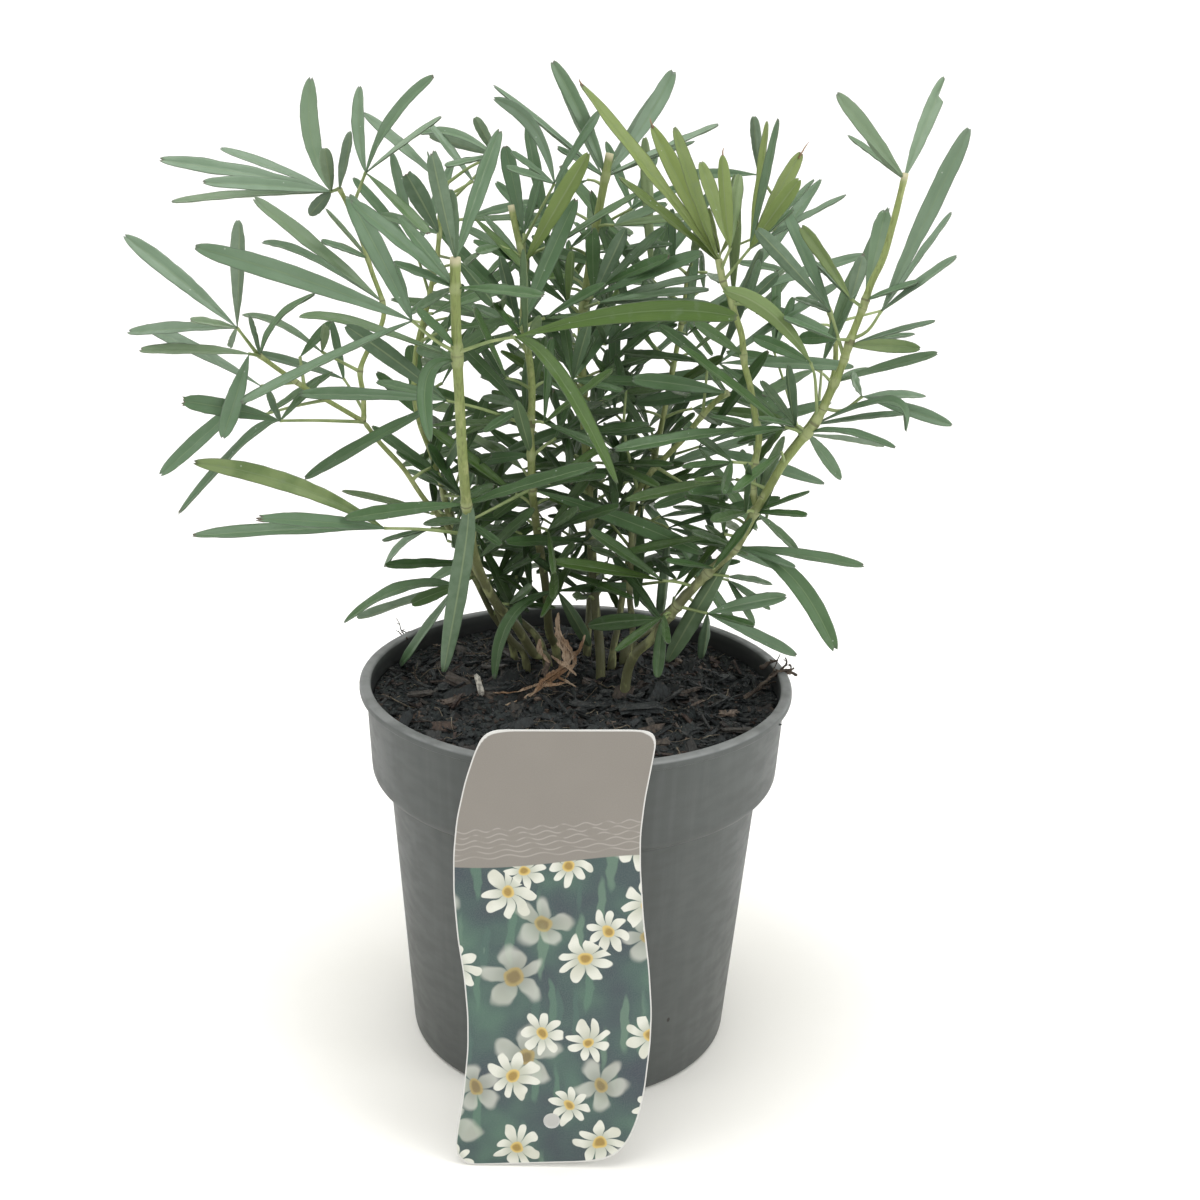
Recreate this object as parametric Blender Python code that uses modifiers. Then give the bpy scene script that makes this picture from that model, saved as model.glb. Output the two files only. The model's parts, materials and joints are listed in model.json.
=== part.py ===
"""Potted mexican orange: a narrow-leaved shrub in a dark grey nursery pot, with its
picture label leaning on the front of the pot.

Sizes are in millimetres and MM turns them into metres. The origin is the middle of the
pot's underside, the front is -Y and up is +Z.
"""
import math

import bmesh
import bpy
from mathutils import Matrix, Vector
from mathutils.bvhtree import BVHTree

MM = 0.001
GAP = 0.35

# Pot: a thin shell with a straight lower wall, a rounded step, a wider collar and a rolled lip
POT_HEIGHT = 152.0
RIM_RADIUS = 85.0
LIP_HEIGHT = 3.4
LIP_ROUND = 0.9
COLLAR_TOP_RADIUS = 82.3
COLLAR_FOOT_RADIUS = 80.5
COLLAR_FOOT_Z = 117.0
STEP_Z = 111.5
WAIST_RADIUS = 73.5
BASE_RADIUS = 65.0
BASE_ROUND = 2.2
POT_WALL = 1.7
POT_FLOOR = 2.0
POT_SIDES = 36
DRAIN_HOLES = 8
DRAIN_RADIUS = 5.0
DRAIN_RING = 46.0
DRAIN_TURN = 0.37

# Compost: mounded in the middle, a little below the lip at the wall
SOIL_EDGE_Z = 139.0
SOIL_MOUND = 7.6
SOIL_POWER = 2.6
SOIL_RINGS = (0.0, 18.0, 34.0, 50.0, 64.0, 74.0)
CHIPS = 11
CHIP_SIZE = (12.0, 5.5, 2.4)
HOLE_SIDES = 8
FOOT_Z = 118.0
FOOT_TOP_Z = 150.0

# Label: a thin card with wavy long sides, standing on its lower left corner and leaning on the
# lip; its outline is given in its own leaning plane, sideways from the pot's middle and upwards
CARD_THICK = 0.8
CARD_LEAN = math.radians(7.0)
CARD_LEFT = ((-33.0, 0.0), (-37.2, 2.2), (-38.7, 6.5), (-38.0, 14.0), (-36.0, 27.5), (-34.6, 46.5),
             (-34.8, 59.0), (-36.2, 74.0), (-38.6, 88.5), (-40.2, 105.5), (-40.4, 120.0),
             (-39.4, 133.0), (-36.6, 147.0), (-33.4, 157.5), (-30.8, 163.4), (-26.4, 165.8))
CARD_RIGHT = ((23.5, 167.2), (27.8, 166.4), (29.4, 163.4), (28.6, 157.5), (26.2, 142.0),
              (25.1, 129.0), (25.5, 116.5), (27.2, 97.5), (29.8, 79.0), (31.2, 63.0), (31.2, 51.0),
              (29.8, 32.5), (27.6, 20.5), (24.6, 12.0), (20.8, 6.4), (15.8, 3.6), (9.0, 2.5))
CARD_HOLE = (-3.7, 18.6)
CARD_HOLE_RADIUS = 3.0

# Leaves: narrow blades with a shallow channel, on thin petioles
BLADE_THICK = 0.9
BLADE_CHANNEL = 0.10
BLADE_WIDEST = 8.2
BLADE_STATIONS = ((0.0, 0.0), (0.28, 0.58), (0.64, 1.0), (0.92, 0.72))
SHORT_STATIONS = ((0.0, 0.0), (0.40, 0.80), (0.84, 0.86))
SHORT_BLADE = 46.0
LEAFLET_LENGTH = 56.0
NARROW_LENGTH = 38.0
NARROW_WIDTH = 4.6
DEPTH_FAN = (0.25, -0.7, 0.75, -0.35, 0.95, -0.95, 0.5)
DEPTH_LIMIT = 24.0
ARCH = 0.02
PETIOLE_RADIUS = 0.75
CLEARANCE = 0.5
HUB_SHIFTS = (0, 5, -5, 10, -10, 15, -15, 20, -20)
TIP_SHIFTS = (0, 6, -6, 12, -12, 18, -18, 24, -24, 30, -30, 38, -38)

# Every place on the plant is given as it is sighted from EYE, the spot in front of the pot from
# which the shrub was measured: x and z where the line of sight meets the upright plane through
# the pot's axis, and y, how far behind that plane (or before it, if negative) the place really is
EYE = Vector((8.5, -602.0, 393.7))

# Each stem has routes of sighted points (x, z, y), the first from the compost and the others from
# a fork, and its thickness at the foot and at the top. Each leaf is (petiole, depth, leaflets):
# the petiole's points (x, z) from the stem to the hub, the hub's depth y (None: the stem's own),
# and for each leaflet its tip x and z, the width that shows, and the crown of its arch if it has one
STEMS = {
    "stem_front_left": {
        "thick": (3.9, 3.4),
        "routes": (
            ((-11.5, 152, 18), (-17, 161, 12), (-24, 172, 4), (-33, 183, -8), (-39, 196, -20),
             (-42, 208, -32), (-43.5, 221, -42), (-45, 240, -50), (-46, 260, -56), (-47, 280, -60),
             (-47.5, 300, -63), (-47.5, 314, -64)),),
        "leaves": (
            (((-47, 279), (-55, 283.5), (-63.5, 290.5)), -72,
             ((-142, 315, 8.5), (-86, 335, 8.5), (-128, 258, 4.5), (-69, 311, 3))),
            (((-47, 279), (-35, 283.5), (-25.5, 285.5)), -78,
             ((56, 295, 8.5, 20, 296), (14, 230.5, 6.5, -8, 271))),
            (((-47, 278), (-50, 278)), -50, ((-105, 291, 4.5, -85, 289.5),)),
            (((-43.5, 221),), None, ((-90, 214, 6.5), (-52.5, 152, 9, -44, 205), (6, 238, 6.5))),
            (((-42, 209), (-60, 210.5), (-75, 210.5)), -50,
             ((-149, 205.5, 5), (-147, 234.5, 8.5, -110, 227), (-123, 213, 6))),
            (((-47, 276),), None, ((-57, 245, 7, -58, 270), (-62, 280, 6))),
            (((-47, 313),), None,
             ((-56, 351, 7), (-31.5, 359, 6), (-49, 338, 5), (-34, 297, 5))),
            (((-47.5, 303),), None,
             ((-85, 333, 6), (-68, 328, 4), (-70, 311.5, 3), (-65, 293, 4), (-15, 301, 4.5))),
            (((-47, 281),), None, ((-62, 295, 4),)),
        ),
    },
    "stem_left": {
        "thick": (3.7, 2.0),
        "routes": (
            ((-20, 154, 18), (-27, 168, 16), (-33, 182, 12), (-42, 198, 4), (-50, 211, -2),
             (-59.5, 222.5, -8), (-67.5, 234.5, -12), (-76, 244, -16), (-82, 252, -18)),
            ((-82, 252, -18), (-96, 260, -22), (-104, 264.5, -25), (-112, 270, -27),
             (-121, 276.5, -30)),
            ((-82, 252, -18), (-82, 262, -15), (-83, 271, -12), (-80, 279, -10), (-75, 288, -8),
             (-74, 296, -5), (-78, 308, -2), (-81, 318, 0), (-86, 331, 3), (-89, 337, 5)),),
        "leaves": (
            (((-121, 276.5), (-128, 286)), -35,
             ((-167.5, 318.5, 8), (-126, 325, 6), (-168.5, 283.5, 5), (-145, 288.5, 3),
              (-131, 279, 2.5))),
            (((-120, 276), (-124, 276.5)), -36, ((-164.5, 277, 5), (-135.5, 244, 8))),
            (((-120, 276),), None, ((-123.5, 290.5, 1.8), (-99, 299.5, 2.5, -113, 290))),
            (((-107, 266), (-120, 264.5)), -24, ((-162, 286, 6), (-160, 229, 7))),
            (((-82, 252), (-100, 252), (-113.5, 251.5)), -34,
             ((-150, 258, 8), (-154, 214, 3.5, -128, 243), (-118, 262.5, 3.5), (-98, 268, 4))),
            (((-83, 271), (-97, 278)), -10, ((-126, 291, 3.5, -113, 288.5), (-95, 288, 4))),
            (((-89, 337), (-92, 336)), 8,
             ((-98, 375, 8.5), (-153, 345.5, 6.5), (-131, 350, 4), (-138, 338, 6),
              (-149.5, 331, 4), (-100, 327.5, 6), (-94, 351, 6))),
            (((-89, 337),), None, ((-85, 357, 4),)),
            (((-85, 329), (-79.5, 343)), -2,
             ((-81, 372.5, 5.5), (-55, 376.5, 6, -70, 362), (-52.5, 363, 2), (-57, 322, 5))),
            (((-75, 297),), None, ((-120, 333, 6.5), (-117.5, 317.5, 4.5, -100, 313))),
            (((-79, 313),), None, ((-96, 318.5, 3), (-94, 330, 1.5))),
        ),
    },
    "stem_left_inner": {
        "thick": (3.2, 1.9),
        "routes": (
            ((-25, 158, 30), (-34, 178, 24), (-44, 200, 18), (-50, 215, 14), (-53, 228, 10),
             (-57, 241, 6), (-61, 252, 2), (-63, 264, 0), (-62, 280, 0), (-58, 296, 2),
             (-55, 310, 4), (-53, 325, 6), (-53, 342, 10)),),
        "leaves": (
            (((-53, 341),), None, ((-80, 363.5, 4.5),)),
            (((-53, 322),), None, ((-65, 343, 6), (-74.5, 328.5, 5))),
            (((-53, 334), (-41, 341)), 8, ((-56.5, 360.5, 3.5),)),
            (((-53, 338), (-42, 346), (-33, 350)), 12,
             ((-40.5, 363, 5), (-60, 357, 4.5, -48, 357.5), (-51, 346, 3))),
            (((-53, 224), (-45, 224)), 2,
             ((-79, 250.5, 5.5), (-70, 241, 2.5), (-66, 234, 4), (-58, 244, 4.5))),
            (((-50, 216), (-57, 217)), 6, ((-91, 225, 3),)),
            (((-41, 192), (-47, 188)), 8,
             ((-91.5, 171.5, 6, -70, 186.5), (-65, 180, 6.5), (-70, 154, 5))),
            (((-43, 197),), None, ((-75, 195.5, 5.5),)),
            (((-49, 211), (-57, 211)), 10, ((-75.5, 195, 3, -68, 205), (-76, 205.5, 2))),
        ),
    },
    "stem_front_mid": {
        "thick": (3.8, 2.4),
        "routes": (
            ((-8, 157, 28), (-11, 170, 22), (-12.5, 187, 14), (-14.5, 200, 8), (-16.5, 212, 2),
             (-18.5, 228, -6), (-19, 240, -9), (-19.5, 252, -11), (-19, 261, -8), (-19.5, 272, -4),
             (-21, 282, 0), (-22.5, 291, 2), (-22.5, 302, 4), (-22.5, 313, 6),
             (-25, 322, 8), (-27.5, 333, 10)),),
        "leaves": (
            (((-19.5, 252), (-37, 258), (-51, 261)), -32,
             ((-106, 262, 6.5), (-105, 229.5, 6), (-88, 288, 8), (-77, 267.5, 4))),
            (((-18, 254), (-23, 259)), -16, ((-46, 282, 6), (-37, 249.5, 4), (-37.5, 263, 4.5))),
            (((-18.5, 228), (-43, 214)), -24, ((-60, 213, 4), (-30, 205, 4))),
            (((-18, 227.5),), None, ((48, 204, 8), (12, 236, 5))),
            (((-22, 289), (-24, 289)), -8, ((-4, 336, 8), (-31, 315, 5), (-41, 297, 4))),
            (((-22.5, 312),), None, ((0, 352, 8), (-44, 325, 4), (-41, 320, 3), (-37, 329, 3))),
            (((-24, 318), (-12, 341)), 5,
             ((-34, 369.5, 6, -20, 360), (-27.5, 351.5, 3), (3.5, 366, 5), (-29, 346, 3))),
            (((-19, 241),), None, ((-25, 262, 6), (-43, 237, 6))),
        ),
    },
    "stem_centre": {
        "thick": (4.0, 3.0),
        "routes": (
            ((9.5, 152, 11), (8.5, 168, 13), (7, 179, 14), (5.5, 195, 16), (4, 215, 18),
             (2, 240, 20), (0, 265, 22), (-1, 290, 24), (1, 310, 25), (3, 325, 26), (5, 337, 26),
             (7.5, 352, 26)),),
        "leaves": (
            (((5, 344),), None,
             ((-13.5, 382.5, 7), (29, 380.5, 8), (-34, 374, 2), (18.5, 359, 3), (-11, 353.5, 2.5),
              (45.5, 363, 3), (37.5, 357, 2))),
            (((0, 300), (3, 301)), 10, ((2, 326, 7), (14, 326, 7), (28, 327, 5), (42, 318, 6))),
            (((0, 297), (5, 299)), 0, ((44, 310, 3), (45, 305, 3), (46, 300, 3))),
            (((0, 266), (-4, 270)), -2,
             ((31, 269.5, 4.5), (15, 266.5, 3), (10, 294, 7), (1, 291, 6), (-8, 292, 5))),
            (((6, 190), (-8, 187)), -5, ((5, 164.5, 6.5), (-32.5, 149, 6, -26, 176), (24, 189.5, 5))),
            (((4.5, 209),), None, ((-11, 205.5, 2.5), (-8, 200, 2.5))),
        ),
    },
    "stem_right": {
        "thick": (4.3, 2.2),
        "routes": (
            ((19.5, 147, -5), (22.5, 161, -8), (29.5, 168.5, -11), (37, 180, -15), (48, 194, -20),
             (60, 207, -25), (66, 220, -28), (71.5, 231, -30), (76, 240, -31), (81, 247.5, -32),
             (87, 256, -33), (92, 268, -34), (95.5, 278, -34), (98, 288, -34), (101.5, 299.5, -33),
             (104, 309, -32), (107.5, 318, -30), (110, 330, -28), (113, 348, -25)),
            ((67, 223, -28), (65, 232, -27), (65.5, 240, -26), (66.5, 250, -24), (64.5, 259, -22),
             (62, 270, -20), (59.5, 278, -18), (58, 288, -16), (55.5, 295, -14), (53, 302, -12),
             (50, 308, -11), (48, 316, -10)),
            ((22.5, 161, -8), (22, 167, -6), (21, 178, -2), (20, 186, 2), (20, 205, 6),
             (20, 223, 8), (26, 235, 8), (32, 242, 8), (39, 250, 6), (44, 257, 4), (50, 264, 2),
             (54, 267, 0)),),
        "leaves": (
            (((113, 346),), None,
             ((86.5, 374.5, 6), (91.5, 360.5, 2), (98.5, 360, 5), (124, 381, 7))),
            (((98, 288), (104, 291.5), (108.5, 299)), -38,
             ((134, 364, 7.5), (130.5, 335, 2.5), (134, 319.5, 3))),
            (((102, 303),), None, ((121, 310, 2.5), (107, 335, 7))),
            (((101, 300), (97, 303)), -38, ((77, 328.5, 6), (100, 318.5, 6), (82.5, 316.5, 2))),
            (((96, 281), (90, 298)), -30, ((70, 336, 5.5), (61, 327, 7), (76.5, 303, 3))),
            (((97, 286),), None, ((124, 285.5, 6), (121.5, 291, 2), (128.5, 296, 2))),
            (((98, 288), (93, 288)), -40, ((79, 288, 6), (73, 295.5, 2.5))),
            (((93.5, 272),), None, ((130.5, 284, 4), (105, 278, 2))),
            (((90, 262), (97, 261.5), (104, 267)), -30,
             ((138.5, 257, 5.5), (127.5, 268, 2.5), (99.5, 275, 3))),
            (((87, 256),), None, ((121.5, 254, 4, 114, 266), (127.5, 262, 2.5))),
            (((85, 252),), None, ((118, 248, 3.5, 98, 254), (98.7, 235, 5))),
            (((88, 258), (86, 273), (84, 279)), -42, ((50, 305, 7.5, 68, 297), (62, 288, 6))),
            (((84, 252), (80, 255)), -28,
             ((58.5, 248, 4), (76, 278, 4), (66, 272, 4), (66, 257.5, 2))),
            (((67, 221),), None, ((86.5, 220.5, 3.5), (84.5, 206, 4), (87, 230, 1.5))),
            (((60, 207),), None,
             ((101.5, 165.5, 9, 82, 196), (110, 201, 5), (83.5, 199.5, 3.5), (35.5, 158.5, 9),
              (43, 212.5, 3), (37, 209, 3))),
            (((50, 196), (58, 195)), -24, ((75, 192.5, 3),)),
            (((39, 182), (50.5, 179.5)), -24,
             ((81, 187.5, 7), (86.5, 163, 5.5), (49, 160.5, 5), (69, 175, 3))),
            (((36, 178.5), (33, 176.5)), -20, ((4, 173, 8), (32, 152, 6), (13, 201.5, 5))),
            (((48, 315),), None,
             ((-3.5, 375.5, 5.5), (22, 362, 7), (30, 361.5, 5.5), (11, 344, 4))),
            (((49, 312), (52, 320)), -16, ((40, 350, 6), (47.5, 352.5, 6), (54, 346, 5.5))),
            (((50, 308), (59, 320)), -12,
             ((62.5, 364.5, 3), (66.5, 365.5, 3), (75.5, 354, 6.5), (75.5, 345, 7),
              (80.5, 345, 2.5), (92.5, 340, 2), (74, 334.5, 1.5))),
            (((54, 300), (59, 300)), -16, ((63, 316, 4), (70, 311.5, 5), (73, 314, 2))),
            (((59, 281),), None, ((40, 293, 5),)),
            (((65.5, 254),), None, ((12, 244, 6), (47.5, 258, 2.5))),
            (((65.5, 240), (57, 240.5)), -32,
             ((39, 253, 4), (38, 238, 3), (41, 234, 3.5), (54, 228, 4))),
            (((65.5, 230),), None, ((41, 228, 4),)),
            (((54, 266.5),), None, ((18, 271, 7.5), (20, 262, 6.5))),
            (((45, 258), (46, 278)), 2, ((14, 281, 4), (27, 291.5, 5), (37, 285, 3))),
            (((22, 227), (16, 250), (16, 267)), 4, ((11.5, 280, 3.5), (22, 277, 1.5), (8, 263, 2.5))),
            (((28, 238), (45, 228)), 0, ((20, 237, 5), (28, 222, 5), (60, 220, 4), (56, 226, 3))),
            (((20, 190), (38, 193)), -2, ((28, 201, 4), (46, 203, 4))),
        ),
    },
    "stem_inner_right": {
        "thick": (3.6, 2.2),
        "routes": (
            ((14, 158, 25), (16, 175, 28), (19, 200, 32), (24, 225, 36), (29, 250, 38),
             (33, 275, 40), (36, 296, 42), (37, 310, 43)),),
        "sprays": (((22, 218), (34, 214), -35), ((20, 205), (6, 222), 165),
                   ((27, 240), (44, 246), 5), ((27, 243), (12, 258), 150),
                   ((32, 268), (50, 278), 20), ((33, 276), (18, 292), 130),
                   ((35, 292), (54, 302), 40), ((36, 298), (24, 308), 115)),
    },
    "stem_back_left": {
        "thick": (3.8, 2.2),
        "routes": (
            ((-14, 160, 37), (-29, 180, 42), (-42, 199, 46), (-49, 215, 50), (-53, 228, 54),
             (-57, 241, 57), (-60, 254, 60), (-61, 268, 62), (-60, 284, 64), (-57, 300, 66),
             (-54, 315, 67), (-53, 330, 68)),),
        "behind": (("stem_left", 1), ("stem_left_inner", 0), ("stem_front_left", 0)),
    },
    "stem_back_mid": {
        "thick": (3.8, 2.2),
        "routes": (
            ((4, 163, 40), (4.5, 180, 46), (4, 200, 52), (3, 220, 56), (1.5, 240, 60),
             (0, 262, 62), (-1, 285, 64), (0, 305, 66), (3, 325, 67), (5, 341, 68)),),
        "behind": (("stem_centre", 0),),
        "sprays": (((3, 205), (-14, 216), 195), ((3, 222), (18, 232), 5), ((1, 238), (-18, 250), 180),
                   ((-1, 262), (14, 270), 25), ((-1, 280), (-20, 290), 155)),
    },
    "stem_back_right": {
        "thick": (4.2, 2.2),
        "routes": (
            ((19, 161, 33), (29, 173, 40), (38, 183, 46), (49, 196, 52), (59, 208, 58),
             (65.5, 220, 62), (71, 232, 66), (76, 242, 70), (82, 251, 73), (88, 261, 75),
             (92, 271, 76), (93, 282, 76), (91, 294, 75), (86, 306, 72), (80, 318, 68),
             (74, 330, 62)),),
        "leaves": ((((76, 326), (61, 346)), 52, ((33, 345, 5), (58, 366, 5))),),
        "behind": (("stem_right", 1),),
    },
}
# A spray is a whole leaf: (where its petiole leaves the stem, its hub, the way it points in
# degrees), with leaflets fanned about that way. A leaf of a back stem may also stand on the sight
# line of a front leaf, this much behind its own stem, when that leaf's hub lies within reach
SPRAY_FAN = ((-58, 40), (-20, 50), (16, 52), (52, 44))
SPRAY_WIDTH = 5.6
SPRAY_STEP = 6.0
BEHIND_STEP = 12.0
BEHIND_REACH = 30.0
BEHIND_EVERY = 3
BEHIND_SHORTER = 0.88
BEHIND_WIDTH = 5.4

SOIL_COLOUR = (0.030, 0.021, 0.016, 1.0)
POT_COLOUR = (0.115, 0.125, 0.120, 1.0)
CARD_COLOUR = (0.20, 0.24, 0.20, 1.0)
LEAF_COLOUR = (0.060, 0.125, 0.055, 1.0)

# Husk and twigs bedded in the compost: sighted points (x, z, y)
HUSK = ((-24, 144, 2), (-14, 150, 0), (-6, 160, -2), (-7, 177, -2))
HUSK_WIDTH = 6.0
TWIGS = (((64, 139, -2), (76, 154, -2), (88, 165, -4)), ((-60, 139, 4), (-65, 156, 2), (-69, 170, 0)))
TWIG_RADIUS = 0.9


def sighted(x, z, y):
    """Return the real place of the point sighted at x, z on the plane y = 0, at depth y."""
    stretch = (y - EYE.y) / -EYE.y
    return Vector((EYE.x + (x - EYE.x) * stretch, y, EYE.z + (z - EYE.z) * stretch))


def soil_height(x, y):
    """Return the height of the compost at x, y: a low mound with shallow lumps."""
    reach = min(1.0, math.hypot(x, y) / (COLLAR_TOP_RADIUS - POT_WALL))
    lumps = math.sin(0.21 * x + 1.3) * math.cos(0.26 * y + 0.4) + 0.5 * math.sin(0.47 * x - 0.33 * y)
    return SOIL_EDGE_Z + SOIL_MOUND * (1.0 - reach ** SOIL_POWER) + 0.9 * lumps * (1.0 - reach ** 8)


def clear_scene():
    """Remove every object, so that the model starts from nothing."""
    for old in list(bpy.data.objects):
        bpy.data.objects.remove(old, do_unlink=True)


def new_collection(name):
    """Make a collection in the scene."""
    collection = bpy.data.collections.new(name)
    bpy.context.scene.collection.children.link(collection)
    return collection


def new_material(name, colour, roughness):
    """Make a plain material of the piece's colour and roughness."""
    material = bpy.data.materials.new(name)
    material.use_nodes = True
    shader = material.node_tree.nodes["Principled BSDF"]
    shader.inputs["Base Color"].default_value = colour
    shader.inputs["Roughness"].default_value = roughness
    shader.inputs["Metallic"].default_value = 0.0
    return material


def object_from(name, points, faces, collection):
    """Make an object of millimetre points and faces, with its faces pointing outwards."""
    bm = bmesh.new()
    corners = [bm.verts.new(Vector(point) * MM) for point in points]
    for face in faces:
        bm.faces.new([corners[index] for index in face])
    bmesh.ops.recalc_face_normals(bm, faces=bm.faces)
    if bm.calc_volume(signed=True) < 0.0:
        bmesh.ops.reverse_faces(bm, faces=bm.faces)
    mesh = bpy.data.meshes.new(name)
    bm.to_mesh(mesh)
    bm.free()
    made = bpy.data.objects.new(name, mesh)
    collection.objects.link(made)
    return made


def solid_from_curve(name, curve, collection):
    """Turn a curve into a closed mesh object of its own, with its caps welded on."""
    holder = bpy.data.objects.new(name + "_curve", curve)
    bpy.context.scene.collection.objects.link(holder)
    bpy.context.view_layer.update()
    evaluated = holder.evaluated_get(bpy.context.evaluated_depsgraph_get())
    mesh = bpy.data.meshes.new_from_object(evaluated)
    bm = bmesh.new()
    bm.from_mesh(mesh)
    bmesh.ops.remove_doubles(bm, verts=bm.verts, dist=0.00001)
    bmesh.ops.recalc_face_normals(bm, faces=bm.faces)
    bm.to_mesh(mesh)
    bm.free()
    made = bpy.data.objects.new(name, mesh)
    made.matrix_world = holder.matrix_world
    collection.objects.link(made)
    bpy.data.objects.remove(holder, do_unlink=True)
    return made


def tube(name, points, radii, resolution, collection):
    """Make a closed tube through the points, in millimetres, with a radius at each."""
    curve = bpy.data.curves.new(name, 'CURVE')
    curve.dimensions = '3D'
    curve.bevel_depth = MM
    curve.bevel_resolution = resolution
    curve.use_fill_caps = True
    spline = curve.splines.new('POLY')
    spline.points.add(len(points) - 1)
    for knot, point, radius in zip(spline.points, points, radii):
        knot.co = (*(Vector(point) * MM), 1.0)
        knot.radius = radius
    return solid_from_curve(name, curve, collection)


def turned(name, profile, sides, collection):
    """Turn a profile of (radius, height) points, outer side downwards, round the Z axis."""
    mesh = bpy.data.meshes.new(name)
    points = [(radius * MM, 0.0, height * MM) for radius, height in profile]
    mesh.from_pydata(points, [(i, i + 1) for i in range(len(points) - 1)], [])
    made = bpy.data.objects.new(name, mesh)
    collection.objects.link(made)
    screw = made.modifiers.new("turn", 'SCREW')
    screw.axis = 'Z'
    screw.angle = math.tau
    screw.steps = sides
    screw.render_steps = sides
    screw.use_merge_vertices = True
    screw.merge_threshold = 0.00001
    screw.use_normal_calculate = False
    return made


def apply_modifiers(target):
    """Give the object its evaluated mesh in place of its modifiers."""
    evaluated = target.evaluated_get(bpy.context.evaluated_depsgraph_get())
    mesh = bpy.data.meshes.new_from_object(evaluated)
    target.modifiers.clear()
    target.data = mesh


def join_all(target, collection, solver):
    """Fuse every object of the collection into the target and remove them."""
    union = target.modifiers.new("fused", 'BOOLEAN')
    union.operation = 'UNION'
    union.operand_type = 'COLLECTION'
    union.collection = collection
    union.solver = solver
    bpy.context.view_layer.update()
    apply_modifiers(target)
    for used in list(collection.objects):
        bpy.data.objects.remove(used, do_unlink=True)
    bpy.data.collections.remove(collection)


def cut(target, cutter):
    """Cut the target with a guide object, which stays hidden."""
    cutter.hide_render = True
    cutter.display_type = 'WIRE'
    difference = target.modifiers.new(cutter.name, 'BOOLEAN')
    difference.operation = 'DIFFERENCE'
    difference.object = cutter
    difference.solver = 'EXACT'


def pillar(name, x, y, low, high, radius, sides, collection):
    """Make an upright cylinder, in millimetres."""
    bm = bmesh.new()
    place = Matrix.Translation(Vector((x, y, (low + high) / 2)) * MM)
    bmesh.ops.create_cone(bm, cap_ends=True, segments=sides, radius1=radius * MM, radius2=radius * MM,
                          depth=(high - low) * MM, matrix=place)
    mesh = bpy.data.meshes.new(name)
    bm.to_mesh(mesh)
    bm.free()
    made = bpy.data.objects.new(name, mesh)
    collection.objects.link(made)
    return made


def inner_wall(inset):
    """Return the inside of the pot's wall, bottom to top, moved inwards by the inset."""
    inside = POT_WALL + inset
    return ((BASE_RADIUS - BASE_ROUND - inset, POT_FLOOR + inset),
            (BASE_RADIUS - inside, POT_FLOOR + BASE_ROUND + inset),
            (WAIST_RADIUS - inside, STEP_Z - 0.5 + inset),
            (COLLAR_FOOT_RADIUS - inside, COLLAR_FOOT_Z + inset))


def build_pot(parts, cutters):
    """Nursery pot: a turned shell with drain holes round its flat floor."""
    top = POT_HEIGHT
    lip_foot = top - LIP_HEIGHT
    inner = COLLAR_TOP_RADIUS - POT_WALL
    profile = ((0.0, POT_FLOOR),) + inner_wall(0.0)
    profile += ((inner, lip_foot), (inner + 0.4, top - 0.5), (inner + LIP_ROUND, top))
    profile += ((RIM_RADIUS - LIP_ROUND, top), (RIM_RADIUS, top - LIP_ROUND))
    profile += ((RIM_RADIUS, lip_foot + 0.5), (RIM_RADIUS - 0.5, lip_foot), (COLLAR_TOP_RADIUS, lip_foot))
    profile += ((COLLAR_FOOT_RADIUS, COLLAR_FOOT_Z), (COLLAR_FOOT_RADIUS - 1.6, COLLAR_FOOT_Z - 2.8))
    profile += ((WAIST_RADIUS + 1.4, STEP_Z + 0.6), (WAIST_RADIUS, STEP_Z - 1.6))
    profile += ((BASE_RADIUS, BASE_ROUND), (BASE_RADIUS - BASE_ROUND, 0.0), (0.0, 0.0))
    pot = turned("pot", profile, POT_SIDES, parts)
    for index in range(DRAIN_HOLES):
        turn = math.tau * (index + DRAIN_TURN) / DRAIN_HOLES
        hole = pillar(f"drain_{index}", DRAIN_RING * math.cos(turn), DRAIN_RING * math.sin(turn),
                      -4.0, POT_FLOOR + 4.0, DRAIN_RADIUS, HOLE_SIDES, cutters)
        cut(pot, hole)
    pot.data.materials.append(new_material("pot_plastic", POT_COLOUR, 0.62))
    bpy.context.view_layer.update()
    apply_modifiers(pot)
    return pot


def foot_of(stem):
    """Return the real x, y of a stem's foot and its radius there."""
    place = sighted(*STEMS[stem]["routes"][0][0])
    return place.x, place.y, STEMS[stem]["thick"][0] / 2


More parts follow.
